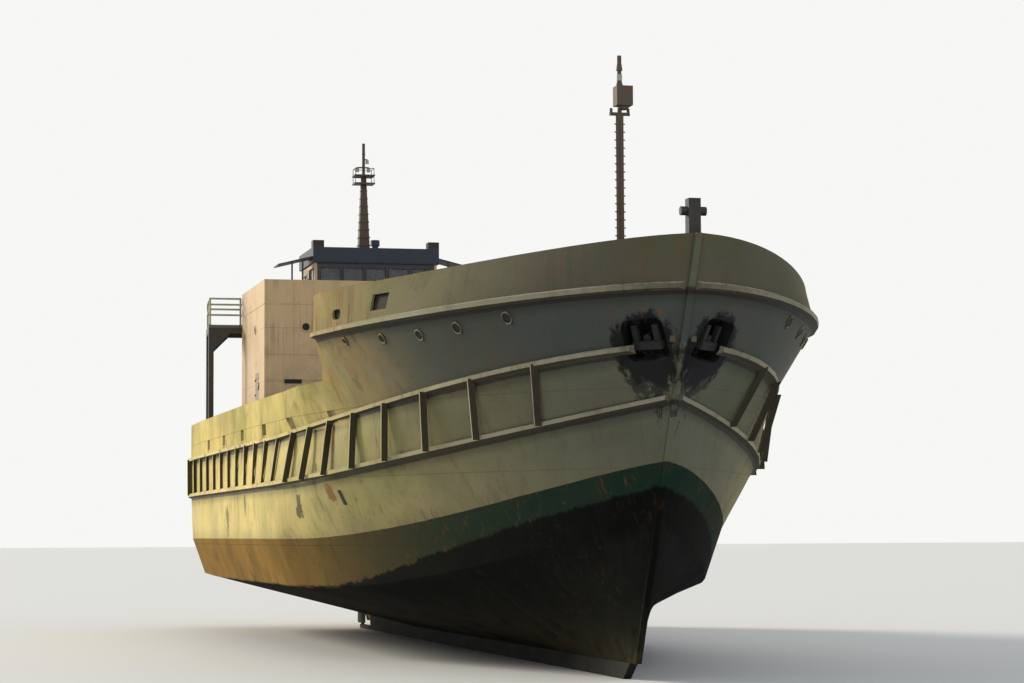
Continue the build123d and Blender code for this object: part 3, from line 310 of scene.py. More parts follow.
def make_zones():
    """Masks by place on the ship.

    Boot is the boot-top and all below it, Under the bottom, Wet the strip over the boot-top, Foot the keel's foot,
    the flare's mask the painted shade on the bow between the upper strake and the knuckle, Break the streaks by the
    forecastle's end, Aft how far aft, Deck what lies level, the hidden faces' mask the painted shade on the strakes'
    undersides and forward faces, Shade the painted shadows below the knuckle moulding and the strakes.
    """
    tree, w, given, result = group("hull zones", [("Waver", FLOAT, 0.03)], [(label, FLOAT) for label in ZONE_LABELS])
    place, x, _, z = w.place()
    low_z = w.plus(z, w.sway(w.noise(place, 1.7, 3.0), given["Waver"]))
    distance = w.minus(w.plus(w.times(z, RAKE), stem_at(0.0)), x)

    def edge(line):
        """Height of a hull line at this distance aft of the stem."""
        stem_z, midship_z, sweep = HULL_LINES[line][4:7]
        left = w.minus(1.0, w.ratio(distance, sweep), clamp=True)
        return w.plus(w.times(w.math("POWER", left, 2.0), stem_z - midship_z), midship_z)

    boot = w.minus(edge("boot_top"), low_z)
    lifted = w.times(w.step(x, 3.0, 13.5), 0.62)
    torn = w.sway(w.noise(w.stretch(place, (1.0, 1.0, 0.5)), 2.6, 6.0, 0.68), 0.34)
    under = w.minus(w.plus(w.plus(edge("chine"), lifted), torn), low_z)
    w.put(result["Boot"], w.step(boot, -0.012, 0.012))
    w.put(result["Under"], w.step(under, -0.03, 0.05))
    w.put(result["Wet"], w.step(boot, -0.40, 0.1))
    facing_x, _, facing_z = w.parts(w.add("ShaderNodeNewGeometry").outputs["True Normal"])
    forward = w.times(w.step(facing_x, 0.66, 0.80), w.step(x, 15.8, 15.2))
    # painted shade on faces that look down, and on forward faces short of the stem
    w.put(result["HiddenShade"], w.most(w.step(facing_z, -0.25, -0.60), forward))
    w.put(result["Deck"], w.times(w.step(facing_z, 0.8, 0.95), w.step(z, 2.3, 2.4)))
    # painted shadows: a dark line and a softer band under the knuckle moulding and each strake
    shade = 0.0
    for line, end in (("knuckle", BREAK_X), ("upper_strake", STRAKE_END_X), ("lower_strake", STRAKE_END_X)):
        drop = w.minus(edge(line), low_z)
        soft = w.times(w.step(drop, STRAKE_HALF + 0.28, STRAKE_HALF + 0.03), 0.55)
        below = w.most(w.step(drop, STRAKE_HALF + 0.10, STRAKE_HALF + 0.04), soft)
        below = w.times(w.step(drop, 0.0, STRAKE_HALF), below)
        shade = w.most(shade, w.times(below, w.step(x, end - 0.1, end + 0.1)))
    w.put(result["Shade"], shade)
    streaks = w.step(w.noise(w.stretch(place, (2.4, 2.4, 0.28)), 1.4, 5.0, 0.6), 0.36, 0.60)
    near_break = w.times(w.step(x, 12.4, 8.7), w.step(x, 6.8, 8.1))
    w.put(result["Break"], w.times(near_break, w.step(z, 2.5, 3.2), streaks))
    w.put(result["Aft"], w.step(w.plus(x, w.times(w.noise(place, 0.5), 2.0)), 17.5, 0.0))
    # painted shade on the bow's flare, between the upper strake and the knuckle
    over = w.step(w.minus(z, edge("upper_strake")), 0.0, 0.10)
    beneath = w.step(w.minus(edge("knuckle"), z), 0.0, 0.04)
    w.put(result["FlareShade"], w.times(over, beneath, w.step(x, 7.5, 13.5)))
    w.put(result["Foot"], w.times(w.step(z, -0.9, -2.3), w.step(w.noise(place, 2.1, 5.0), 0.30, 0.52)))
    return tree


def make_run():
    """Mask of a run down the side from one place, which frays and fades."""
    tree, w, given, result = group(
        "rust run",
        [("Along", FLOAT, 0.0), ("Top", FLOAT, 2.5), ("Width", FLOAT, 0.25), ("Length", FLOAT, 1.2)],
        [("Mask", FLOAT)],
    )
    place, x, _, z = w.place()
    fray = w.sway(w.noise(w.stretch(place, (3.0, 3.0, 0.8)), 2.0, 5.0), 0.30)
    off = w.math("ABSOLUTE", w.plus(w.minus(x, given["Along"]), fray))
    side = w.step(w.ratio(off, given["Width"]), 1.0, 0.25)
    down = w.ratio(w.minus(given["Top"], z), given["Length"])
    fade = w.times(w.step(down, 1.0, 0.15), w.step(down, -0.02, 0.02))
    strands = w.step(w.noise(w.stretch(place, (11.0, 11.0, 0.4)), 1.6, 4.0), 0.34, 0.60)
    w.put(result["Mask"], w.times(side, fade, strands))
    return tree


def make_stain():
    """Mask of a ragged stain round a place on each side, drawn out downwards."""
    tree, w, given, result = group(
        "ragged stain",
        [
            ("Centre", VECTOR, (0.0, 0.0, 0.0)),
            ("Reach", FLOAT, 0.6),
            ("Ragged", FLOAT, 0.5),
            ("Drop", FLOAT, 0.6),
            ("Grain", FLOAT, 4.2),
        ],
        [("Mask", FLOAT)],
    )
    place, x, y, z = w.place()
    away = w.vector("SUBTRACT", w.join(x, w.math("ABSOLUTE", y), z), given["Centre"])["Vector"]
    below = w.times(w.most(w.times(w.parts(away)[2], -1.0), 0.0), given["Drop"])
    grain = w.noise(w.stretch(place, (1.0, 1.0, 0.55)), given["Grain"], 8.0, 0.72)
    length = w.vector("LENGTH", away)["Value"]
    reach = w.minus(w.plus(length, w.sway(grain, given["Ragged"])), below)
    w.put(result["Mask"], w.step(w.ratio(reach, given["Reach"]), 1.05, 0.80))
    return tree


def make_edge_wear():
    """Mask of worn edges and corners, broken up by grain."""
    tree, w, given, result = group(
        "edge wear",
        [("Spread", FLOAT, 0.03), ("Broken", FLOAT, 0.5)],
        [("Worn", FLOAT)],
    )
    rounded = w.add("ShaderNodeBevel", {"Radius": given["Spread"]}, samples=4).outputs[0]
    facing = w.add("ShaderNodeNewGeometry").outputs["Normal"]
    edge = w.step(w.minus(1.0, w.vector("DOT_PRODUCT", rounded, facing)["Value"]), 0.02, 0.16)
    grain = w.noise(w.place()[0], 6.0, 6.0, 0.7)
    broken = w.step(w.plus(grain, w.minus(0.5, given["Broken"])), 0.42, 0.60)
    w.put(result["Worn"], w.times(edge, broken))
    return tree


WEATHER = make_weather()
ZONES = make_zones()
RUN = make_run()
STAIN = make_stain()
EDGE_WEAR = make_edge_wear()


def material(name):
    """New material with its wiring and its Principled BSDF."""
    made = bpy.data.materials.new(name)
    made.use_nodes = True
    wiring = Wiring(made.node_tree)
    return made, wiring, made.node_tree.nodes["Principled BSDF"]


def placed(w, tree, **values):
    """Outputs of a group that is placed in a material with its own values."""
    given = {label.replace("_", " "): value for label, value in values.items()}
    return w.add("ShaderNodeGroup", given, node_tree=tree).outputs


def finish_paint(w, shader, colour, weather, bump, distance):
    """Joins a colour and a weather group's outputs to the shader."""
    relief = w.add("ShaderNodeBump", {"Strength": bump, "Distance": distance, "Height": weather["Height"]})
    w.fill(shader, {"Base Color": colour, "Roughness": weather["Roughness"], "Normal": relief.outputs["Normal"]})


def worn_edges(w, colour, bare, spread, amount):
    """Colour with its edges worn through to another."""
    wear = placed(w, EDGE_WEAR, Spread=spread, Broken=0.5)
    return w.mix(w.times(wear["Worn"], amount), colour, bare)


def painted(name, paint, grime=0.5, runs=0.4, rust=0.3, seams=0.0, shine=0.42,
            dirt=(0.10, 0.10, 0.075, 1), edge=None, gloss=0.4):
    """Weathered paint on metal, with worn edges."""
    made, w, shader = material(name)
    weather = placed(
        w, WEATHER, Paint=paint, Grime=dirt, Grime_Amount=grime, Run_Amount=runs,
        Rust_Amount=rust, Seam_Amount=seams, Shine=shine,
    )
    colour = weather["Color"]
    if edge:
        colour = worn_edges(w, colour, edge, 0.025, 0.6)
    finish_paint(w, shader, colour, weather, 0.25, 0.03)
    shader.inputs["Specular IOR Level"].default_value = gloss
    return made


RUNS_TOP, RUN_LENGTH, RUN_WIDTH = 2.56, 1.3, 0.34


def port_runs(w):
    """Mask of the rust runs below all the freeing ports."""
    masks = [
        placed(w, RUN, Along=x - 0.1, Top=RUNS_TOP, Width=RUN_WIDTH, Length=RUN_LENGTH * (0.8 + 0.35 * (i % 3)))["Mask"]
        for i, x in enumerate(FREEING_PORTS)
    ]
    whole = masks[0]
    for mask in masks[1:]:
        whole = w.most(whole, mask)
    return whole


MOSS_TINT = (0.66, 0.80, 0.50, 1)
# painted shade under the bow's flare, greyer and bluer than the paint
FLARE_SHADE = (0.036, 0.046, 0.056, 1)
BREAK_RUST, RUN_RUST = (0.36, 0.20, 0.065, 1), (0.15, 0.060, 0.020, 1)
WET_BROWN = (0.15, 0.13, 0.06, 1)
# boot-top: dark green forward, brown-orange aft as painted sunlight
BOOT_FORE, BOOT_SUNLIT_AFT = (0.012, 0.030, 0.020, 1), (0.30, 0.175, 0.042, 1)
# the bottom's near-black: dark bottom paint, darkened further as painted shade
BOTTOM_BLACK_AND_SHADE = (0.0045, 0.0055, 0.0045, 1)
FOOT_MUD = (0.050, 0.044, 0.024, 1)
DECK_GREY = (0.13, 0.14, 0.115, 1)
SIDE_DIRT, BOOT_DIRT, BOTTOM_DIRT = (0.090, 0.086, 0.056, 1), (0.036, 0.038, 0.024, 1), (0.010, 0.011, 0.008, 1)
# painted shade on the strakes' undersides and forward faces, and painted shadows below the mouldings and strakes
HIDDEN_SHADE, SHADE_DARK = (0.022, 0.019, 0.012, 1), (0.016, 0.016, 0.013, 1)
# soot stains round the anchor pockets; the first black also fills openings as painted shade
SOOT_AND_HOLE_SHADE, SOOT_DRIP = (0.006, 0.006, 0.007, 1), (0.012, 0.012, 0.015, 1)


def topsides(name, fore, aft, whole=False, edge=None, flare_shade=0.70, grime=0.42, seams=0.7, hidden_shade=0.0,
             shine=0.56, gloss=0.12):
    """Cream plating, with painted shade that greys and darkens it towards the bow, painted sunlight that yellows it aft
    and painted shade under the bow's flare; the whole hull's takes in the bottom, decks, stains, scuffs and the painted
    shadows below the mouldings and strakes.
    """
    made, w, shader = material(name)
    place, _, y, _ = w.place()
    zones = placed(w, ZONES, Waver=0.03)

    def over(colour, zone, amount, tone):
        return w.mix(w.times(zones[zone], amount), colour, tone)

    # painted shade at the bow, painted sunlight aft
    paint = w.mix(zones["Aft"], fore, aft)
    moss = w.step(w.noise(place, 0.33, 3.0), 0.42, 0.66)
    paint = w.mix(w.times(moss, 0.40), paint, w.mix(1.0, paint, MOSS_TINT, "MULTIPLY"))
    # painted shade under the bow's flare
    paint = over(paint, "FlareShade", flare_shade, FLARE_SHADE)
    paint = over(paint, "Break", 0.55, BREAK_RUST)
    paint = over(paint, "Wet", 0.34, WET_BROWN)
    if whole:
        # boot-top colour, with painted sunlight aft
        paint = w.mix(zones["Boot"], paint, w.mix(w.math("POWER", zones["Aft"], 2.6), BOOT_FORE, BOOT_SUNLIT_AFT))
        # near-black bottom: dark paint and painted shade
        paint = w.mix(zones["Under"], paint, BOTTOM_BLACK_AND_SHADE)
        paint = over(paint, "Foot", 0.70, FOOT_MUD)
        paint = w.mix(zones["Deck"], paint, DECK_GREY)
    dirt = w.mix(zones["Under"], w.mix(zones["Boot"], SIDE_DIRT, BOOT_DIRT), BOTTOM_DIRT)
    weather = placed(
        w, WEATHER, Paint=paint, Grime=dirt, Grime_Amount=grime, Run_Amount=0.66,
        Rust_Amount=w.minus(0.50, w.times(zones["Under"], 0.38)), Seam_Amount=seams, Shine=shine,
    )
    upright = w.minus(1.0, zones["Deck"])
    side_only = w.times(w.minus(1.0, zones["Boot"]), upright)
    colour = w.mix(w.times(port_runs(w), w.times(side_only, 0.75)), weather["Color"], RUN_RUST)
    # painted shade on the strakes' undersides and forward faces
    if hidden_shade:
        colour = over(colour, "HiddenShade", hidden_shade, HIDDEN_SHADE)
    if whole:
        colour = w.mix(w.times(zones["Shade"], 0.88, upright), colour, SHADE_DARK)
        soot = placed(w, STAIN, Centre=POCKET, Reach=0.62, Ragged=0.80, Drop=0.45)
        colour = w.mix(w.times(soot["Mask"], 0.96, upright), colour, SOOT_AND_HOLE_SHADE)
        drip = placed(w, STAIN, Centre=POCKET_DRIP, Reach=0.40, Ragged=1.2, Drop=0.66)
        colour = w.mix(w.times(drip["Mask"], 0.74), colour, SOOT_DRIP)
        starboard = w.step(y, 0.1, -0.1)
        for centre, reach, tone in SCUFFS:
            scuff = placed(w, STAIN, Centre=centre, Reach=reach, Ragged=reach * 3.4, Drop=0.4, Grain=11.0)
            colour = w.mix(w.times(scuff["Mask"], 0.8, starboard), colour, tone)
    if edge:
        colour = worn_edges(w, colour, edge, 0.03, 0.7)
    finish_paint(w, shader, colour, weather, 0.35, 0.05)
    dull = w.times(zones["Boot"], 0.30)
    w.fill(shader, {
        "Roughness": w.plus(weather["Roughness"], dull, clamp=True),
        "Specular IOR Level": w.times(w.minus(1.0, w.times(zones["Boot"], 0.6)), gloss),
    })
    return made


def plain(name, colour, roughness, metallic=0.0):
    """Finish of small fittings, with a little unevenness."""
    made, w, shader = material(name)
    grain = w.noise(w.place()[0], 14.0, 6.0, 0.7)
    darker = tuple(0.45 * c for c in colour[:3]) + (1,)
    w.fill(shader, {
        "Base Color": w.mix(w.times(grain, 0.5), colour, darker),
        "Roughness": w.plus(w.times(grain, 0.2), roughness, clamp=True),
        "Metallic": metallic,
    })
    return made


def glass(name, colour):
    """Window glass, smeared downwards."""
    made, w, shader = material(name)
    smear = w.step(w.noise(w.stretch(w.place()[0], (3.0, 3.0, 1.2)), 2.0, 5.0), 0.35, 0.75)
    w.fill(shader, {
        "Base Color": w.mix(w.times(smear, 0.5), colour, (0.30, 0.29, 0.24, 1)),
        "Roughness": w.plus(w.times(smear, 0.28), 0.05),
        "Transmission Weight": 0.75,
        "IOR": 1.45,
    })
    return made


# topsides, bulwarks and strakes: painted shade darkens and greys them forward, painted sunlight turns them yellow aft
FORE, AFT = (0.122, 0.130, 0.092, 1), (0.76, 0.61, 0.22, 1)
RUSTY = (0.16, 0.062, 0.022, 1)
FINISH = {
    "hull_paint": topsides("weathered topsides and bottom, painted light", FORE, AFT, whole=True),
    "bulwark_paint": topsides("weathered bulwarks, painted light", (0.120, 0.112, 0.080, 1), AFT, edge=RUSTY, flare_shade=0.0,
                              shine=0.66, gloss=0.05),
    "strake_paint": topsides("worn strakes, painted light", (0.33, 0.315, 0.235, 1), (0.78, 0.64, 0.29, 1), edge=RUSTY, flare_shade=0.0,
                             grime=0.25, seams=0.0, hidden_shade=0.92),
    # dark bottom paint, darkened further as painted shade
    "bottom_paint": painted("dark bottom paint and painted shade", (0.008, 0.010, 0.008, 1), shine=0.7,
                            dirt=(0.034, 0.030, 0.018, 1), edge=(0.06, 0.035, 0.018, 1), gloss=0.12),
    "house_paint": painted("pinkish house paint", (0.69, 0.48, 0.26, 1), grime=0.30, runs=0.55, rust=0.34, seams=0.6,
                           shine=0.45, dirt=(0.15, 0.115, 0.075, 1), edge=(0.20, 0.10, 0.05, 1)),
    "door_paint": painted("worn door paint", (0.34, 0.265, 0.17, 1), grime=0.4, runs=0.5, rust=0.5, edge=RUSTY),
    "deck_paint": painted("worn deck paint", DECK_GREY, grime=0.6, runs=0.1, rust=0.6, seams=0.5, shine=0.6),
    "cover_paint": painted("worn cover paint", (0.15, 0.18, 0.14, 1), grime=0.6, runs=0.1, rust=0.6, seams=0.4,
                           shine=0.6, edge=RUSTY),
    "roof_paint": painted("dark blue paint", (0.012, 0.022, 0.042, 1), grime=0.3, runs=0.2, rust=0.12, shine=0.38,
                          dirt=(0.03, 0.035, 0.04, 1), edge=(0.10, 0.11, 0.12, 1)),
    "mast_paint": painted("rusty mast paint", (0.085, 0.052, 0.030, 1), grime=0.4, rust=0.7, shine=0.55,
                          edge=(0.20, 0.12, 0.07, 1)),
    "dark_paint": painted("dark frame paint", (0.030, 0.030, 0.026, 1), grime=0.3, runs=0.3, rust=0.5, shine=0.5,
                          edge=RUSTY),
    "rail_paint": painted("pale rail paint", (0.42, 0.41, 0.27, 1), grime=0.35, runs=0.2, rust=0.5, shine=0.45,
                          edge=RUSTY),
    "black_iron": painted("black iron", (0.014, 0.013, 0.013, 1), grime=0.3, runs=0.2, rust=0.5, shine=0.5,
                          dirt=(0.04, 0.035, 0.03, 1), edge=(0.11, 0.07, 0.045, 1)),
    "window_wall_paint": painted("slate window wall", (0.035, 0.043, 0.054, 1), grime=0.3, runs=0.3, rust=0.2,
                                 dirt=(0.05, 0.05, 0.045, 1), edge=(0.12, 0.12, 0.11, 1)),
    # black panels behind the bulwark's openings: painted shade
    "shade_panel_paint": plain("black panel as painted shade", (0.011, 0.009, 0.007, 1), 0.8),
    "anchor_iron": plain("soot black anchor", (0.009, 0.008, 0.008, 1), 0.75),
    "propeller_bronze": plain("dull bronze", (0.30, 0.19, 0.07, 1), 0.38, 1.0),
    "shaft_steel": plain("dull steel", (0.36, 0.35, 0.33, 1), 0.36, 1.0),
    "window_glass": glass("window glass", (0.16, 0.20, 0.22, 1)),
    # near-black filling of portholes, ports and slots: painted shade of the dark inside
    "opening": plain("dark opening as painted shade", SOOT_AND_HOLE_SHADE, 0.7),
    "lens": plain("milky lamp lens", (0.42, 0.44, 0.40, 1), 0.25),
}
FINISH_BY_NODE = {
    "forecastle_bulwark_port": "bulwark_paint",
    "forecastle_bulwark_starboard": "bulwark_paint",
    "well_bulwark_port": "bulwark_paint",
    "well_bulwark_starboard": "bulwark_paint",
    "stern_bulwark": "bulwark_paint",
    "awnings": "dark_paint",
    "anchor_port": "anchor_iron",
    "anchor_starboard": "anchor_iron",
    "sidelight_boxes": "black_iron",
    "wheelhouse_front": "window_wall_paint",
}
SLOTS = {entry["node"]: entry["material_slot"] for entry in frame["record"]["subparts"]}
# finish of each CAD node: the one listed for it by name, else its slot's, else the dark paint
for name, node in nodes.items():
    finish = FINISH.get(FINISH_BY_NODE.get(name, SLOTS.get(name)), FINISH["dark_paint"])
    node.data.materials.clear()
    node.data.materials.append(finish)


# Plated pieces: a fair copy of each, shaded smoothly, takes the place of its node

FRAMES = [0.8 * i for i in range(12)] + [9.6 + 0.32 * i for i in range(25)]
# abaft this place, and this near the centreline, the plating keeps the faces of its solid
FAIR_END_X, FAIR_FROM_Y = -9.0, 0.15
STOCK_X, STOCK_RADIUS, STOCK_TOP, STOCK_PLAY = -15.5, 0.0701, 1.2, 0.006


def linked(name, data):
    """Object at the origin for a finished mesh."""
    made = bpy.data.objects.new(name, data)
    bpy.context.scene.collection.objects.link(made)
    return made


def fair_normals(data):
    """Shades the outer plating by the hull's form itself, so that no facet shows."""
    normals = [corner.vector.copy() for corner in data.corner_normals]
    for face in data.polygons:
        panel = panel_at(face.center.x, face.center.z)
        if panel is None or face.center.x < FAIR_END_X:
            continue
        side = 1 if face.center.y > 0 else -1
        if face.normal.dot(plating_normal(face.center.x, face.center.z, side, panel)) < 0.93:
            continue
        for corner in face.loop_indices:
            x, y, z = data.vertices[data.loops[corner].vertex_index].co
            if x > FAIR_END_X and abs(y) >= FAIR_FROM_Y and abs(plating(x, z, side, panel).y - y) < 0.02:
                normals[corner] = plating_normal(x, z, side, panel)
    data.normals_split_custom_set(normals)


def snap(mesh):
    """Cuts a plated piece at the frames and moves its outer face to the hull's form."""
    for x in FRAMES:
        everything = mesh.verts[:] + mesh.edges[:] + mesh.faces[:]
        bmesh.ops.bisect_plane(mesh, geom=everything, dist=1e-5, plane_co=(x, 0, 0), plane_no=(1, 0, 0))
    mesh.normal_update()
    for vert in mesh.verts:
        x, y, z = vert.co
        if x < FAIR_END_X or abs(y) < FAIR_FROM_Y:
            continue
        side = 1 if y > 0 else -1
        fair = plating(x, z, side)
        if abs(fair.y - y) < 0.05:
            out = plating_normal(x, z, side)
            if any(face.normal.dot(out) > 0.85 for face in vert.link_faces):
                vert.co.y = fair.y


def ease_bore(mesh):
    """Widens the bore of the rudder's stock, so that its facets stay clear of the stock's as it turns."""
    for vert in mesh.verts:
        off = Vector((vert.co.x - STOCK_X, vert.co.y, 0))
        if abs(off.length - STOCK_RADIUS) < 0.003 and vert.co.z < STOCK_TOP:
            vert.co += off.normalized() * STOCK_PLAY


def fair_copy(name, angle, snapped=False):
    """Welded copy of a plated piece; its outer face may be faired to the hull's form between the frames."""
    mesh = bmesh.new()
    mesh.from_mesh(nodes[name].data)
    bmesh.ops.remove_doubles(mesh, verts=mesh.verts, dist=0.0002)
    bmesh.ops.dissolve_limit(mesh, angle_limit=0.002, verts=mesh.verts, edges=mesh.edges)
    if snapped:
        snap(mesh)
        ease_bore(mesh)
    data = bpy.data.meshes.new(f"{name}_fair")
    mesh.to_mesh(data)
    mesh.free()
    data.shade_smooth()
    data.set_sharp_from_angle(angle=angle)
    if snapped:
        fair_normals(data)
    data.materials.append(nodes[name].data.materials[0])
    made = linked(f"{name}_fair", data)
    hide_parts(name)
    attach(made, body_of(nodes[name])[0])


for name in ("hull", "forecastle_bulwark_port", "forecastle_bulwark_starboard",
             "well_bulwark_port", "well_bulwark_starboard"):
    fair_copy(name, 0.30, snapped=True)
for name in ("knuckle_moulding_port", "knuckle_moulding_starboard", "strakes_port", "strakes_starboard"):
    fair_copy(name, 0.30)
for name in ("propeller", "windlass", "bitts_forward", "bitts_aft", "foremast", "samson_post", "rudder"):
    fair_copy(name, 0.45)

# Repeats: one piece set in a row, and bars set along a line

GEOMETRY, NUMBER, MATERIAL = "NodeSocketGeometry", "NodeSocketInt", "NodeSocketMaterial"


def copies(w, given, spread):
    """The copies spread over points, made one mesh with its finish."""
    spread = w.add("GeometryNodeInstanceOnPoints", spread)
    joined = w.add("GeometryNodeRealizeInstances", {"Geometry": spread.outputs["Instances"]})
    finish = {"Geometry": joined.outputs["Geometry"], "Material": given["Finish"]}
    return w.add("GeometryNodeSetMaterial", finish).outputs["Geometry"]


def make_row():
    """A piece repeated in a straight row."""
    tree, w, given, result = group(
        "row of pieces",
        [("Geometry", GEOMETRY, None), ("Count", NUMBER, None), ("Step", VECTOR, None), ("Finish", MATERIAL, None)],
        [("Geometry", GEOMETRY)],
        "GeometryNodeTree",
    )
    line = w.add("GeometryNodeMeshLine", {"Count": given["Count"], "Offset": given["Step"]}, mode="OFFSET")
    spread = {"Points": line.outputs["Mesh"], "Instance": given["Geometry"]}
    w.put(result["Geometry"], copies(w, given, spread))
    return tree


def make_stays():
    """Bars set at an even pitch along a line, square to it and leaning by an angle."""
    tree, w, given, result = group(
        "bars along a line",
        [("Geometry", GEOMETRY, None), ("Pitch", FLOAT, None), ("Size", VECTOR, None), ("Lean", VECTOR, None),
         ("Finish", MATERIAL, None)],
        [("Geometry", GEOMETRY)],
        "GeometryNodeTree",
    )
    curve = w.add("GeometryNodeMeshToCurve", {"Mesh": given["Geometry"]}).outputs["Curve"]
    even = w.add("GeometryNodeResampleCurve", {"Curve": curve, "Length": given["Pitch"]}, mode="LENGTH")
    bar = w.add("GeometryNodeMeshCube", {"Size": given["Size"]}).outputs["Mesh"]
    leaning = w.add("GeometryNodeTransform", {"Geometry": bar, "Rotation": given["Lean"]})
    tangent = w.add("GeometryNodeInputTangent").outputs["Tangent"]
    along = w.add("FunctionNodeAlignRotationToVector", {"Vector": tangent}, axis="X", pivot_axis="Z")
    spread = {"Points": even.outputs["Curve"], "Instance": leaning.outputs["Geometry"],
              "Rotation": along.outputs["Rotation"]}
    w.put(result["Geometry"], copies(w, given, spread))
    return tree


ROW, STAYS = make_row(), make_stays()
CREASE = 0.6


def settle(made, body):
    """Lets a piece ride on its body."""
    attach(made, body)
    return made


def grown(piece, tree, values, finish, body="ship"):
    """Runs a tree on a piece and keeps its result as a plain mesh."""
    values = {**values, "Finish": FINISH[finish]}
    modifier = piece.modifiers.new(tree.name, "NODES")
    modifier.node_group = tree
    for item in tree.interface.items_tree:
        if item.in_out == "INPUT" and item.name in values:
            modifier[item.identifier] = values[item.name]
    graph = bpy.context.evaluated_depsgraph_get()
    result = bpy.data.meshes.new_from_object(piece.evaluated_get(graph))
    piece.modifiers.clear()
    piece.data = result
    result.shade_smooth()
    result.set_sharp_from_angle(angle=CREASE)
    return settle(piece, body)


class Shape:
    """Collects simple forms into one mesh."""

    def __init__(self):
        self.mesh = bmesh.new()

    def box(self, centre, size, turn=None):
        made = bmesh.ops.create_cube(self.mesh, size=1.0)["verts"]
        place = Matrix.Translation(centre) @ (turn or Matrix.Identity(4)) @ Matrix.Diagonal((*size, 1.0))
        bmesh.ops.transform(self.mesh, matrix=place, verts=made)

    def rod(self, start, end, radius, end_radius=None, sides=12):
        start, end = Vector(start), Vector(end)
        along = end - start
        made = bmesh.ops.create_cone(
            self.mesh,
            cap_ends=True,
            segments=sides,
            radius1=radius,
            radius2=radius if end_radius is None else end_radius,
            depth=along.length,
        )["verts"]
        place = Matrix.Translation((start + end) / 2) @ along.to_track_quat("Z", "Y").to_matrix().to_4x4()
        bmesh.ops.transform(self.mesh, matrix=place, verts=made)

    def post(self, x, y, low, high, radius, end_radius=None, sides=12):
        """Upright rod between two heights."""
        self.rod((x, y, low), (x, y, high), radius, end_radius, sides)

    def ring(self, centre, axis, radius, thickness, sides=28, round_sides=8):
        """Round bead about an axis."""
        turn = Vector(axis).to_track_quat("Z", "Y").to_matrix().to_4x4()
        place = Matrix.Translation(centre) @ turn
        loops = []
        for i in range(sides):
            a = 2 * math.pi * i / sides
            loop = []
            for j in range(round_sides):
                b = 2 * math.pi * j / round_sides
                r = radius + thickness * math.cos(b)
                point = Vector((r * math.cos(a), r * math.sin(a), thickness * math.sin(b)))
                loop.append(self.mesh.verts.new(place @ point))
            loops.append(loop)
        for i in range(sides):
            near, far = loops[i], loops[(i + 1) % sides]
            for j in range(round_sides):
                k = (j + 1) % round_sides
                self.mesh.faces.new((near[j], far[j], far[k], near[k]))

    def frame(self, centre, width, height, bar, depth, along="y"):
        """Flat border of a window, standing in the plane of a wall."""
        x, y, z = centre
        for share in (-1, 1):
            level = (x, y, z + share * (height + bar) / 2)
            self.box(level, (depth, width + 2 * bar, bar) if along == "y" else (width + 2 * bar, depth, bar))
            off = share * (width + bar) / 2
            upright = (x, y + off, z) if along == "y" else (x + off, y, z)
            self.box(upright, (depth, bar, height) if along == "y" else (bar, depth, height))

    def raw(self, name):
        """Object of the mesh so far, for a tree to work on."""
        bmesh.ops.recalc_face_normals(self.mesh, faces=self.mesh.faces)
        data = bpy.data.meshes.new(name)
        self.mesh.to_mesh(data)
        self.mesh.free()
        return linked(name, data)

    def done(self, name, finish, body="ship", bevel=0.0):
        """Makes the object, which rides on a body."""
        made = self.raw(name)
        made.data.shade_smooth()
        made.data.set_sharp_from_angle(angle=CREASE)
        made.data.materials.append(FINISH[finish])
        if bevel:
            rounding = made.modifiers.new("rounding", "BEVEL")
            rounding.width = bevel
            rounding.segments = 2
            rounding.limit_method = "ANGLE"
        return settle(made, body)


def flat_on(outward):
    """Turn that lays a box's thin side along an outward direction."""
    along = UP.cross(outward).normalized()
    return Matrix((along, outward, along.cross(outward))).transposed().to_4x4()


# Bow: portholes under the moulding, lugs at the stem, black panels behind the bulwark's openings as painted shade

BEAD, BOLTS, PANE_SIDES = 0.020, 6, 28
# porthole: place along the ship, height, radius
PORTHOLES = ((15.15, 4.16, 0.115), (13.87, 4.07, 0.115), (12.72, 4.02, 0.11), (11.44, 4.04, 0.10), (9.9, 4.10, 0.075))
for side, side_name in SIDES:
    rims, panes = Shape(), Shape()
    for x, z, radius in PORTHOLES:
        centre, outward = plating(x, z, side), plating_normal(x, z, side)
        rims.ring(centre + outward * 0.010, outward, radius, BEAD)
        for i in range(BOLTS):
            turn = Matrix.Rotation(math.radians(i * 360 / BOLTS), 3, outward)
            arm = turn @ outward.cross(UP).normalized() * (radius + 0.030)
            rims.rod(centre + arm, centre + arm + outward * 0.022, 0.011, sides=6)
        # near-black pane: painted shade of the dark inside behind the glass
        panes.rod(centre - outward * 0.03, centre + outward * 0.014, radius, sides=PANE_SIDES)
    rims.done(f"porthole_rims_{side_name}", "strake_paint")
    panes.done(f"porthole_panes_{side_name}", "opening")
LUG_Z = 3.66
lugs = Shape()
for side, _ in SIDES:
    lugs.box(plating(stem_at(LUG_Z) - 0.03, LUG_Z, side), (0.07, 0.10, 0.11))
lugs.done("stem_lugs", "bulwark_paint", bevel=0.01)
# black panel behind an opening, painted shade of what lies beyond it: place along the ship, height, its own length and
# height
SHADE_PANELS = ((11.54, 4.752, 0.72, 0.44), (9.745, 4.64, 0.50, 0.30))
for side, side_name in SIDES:
    shade_panels = Shape()
    for x, z, long, high in SHADE_PANELS:
        outward = plating_normal(x, z, side)
        shade_panels.box(plating(x, z, side) - outward * (BULWARK_THICKNESS + 0.02), (long, 0.02, high), flat_on(outward))
    shade_panels.done(f"bulwark_shade_panels_{side_name}", "shade_panel_paint")

# The overboard slot, low on the starboard side: a near-black plate as painted shade, under a hood

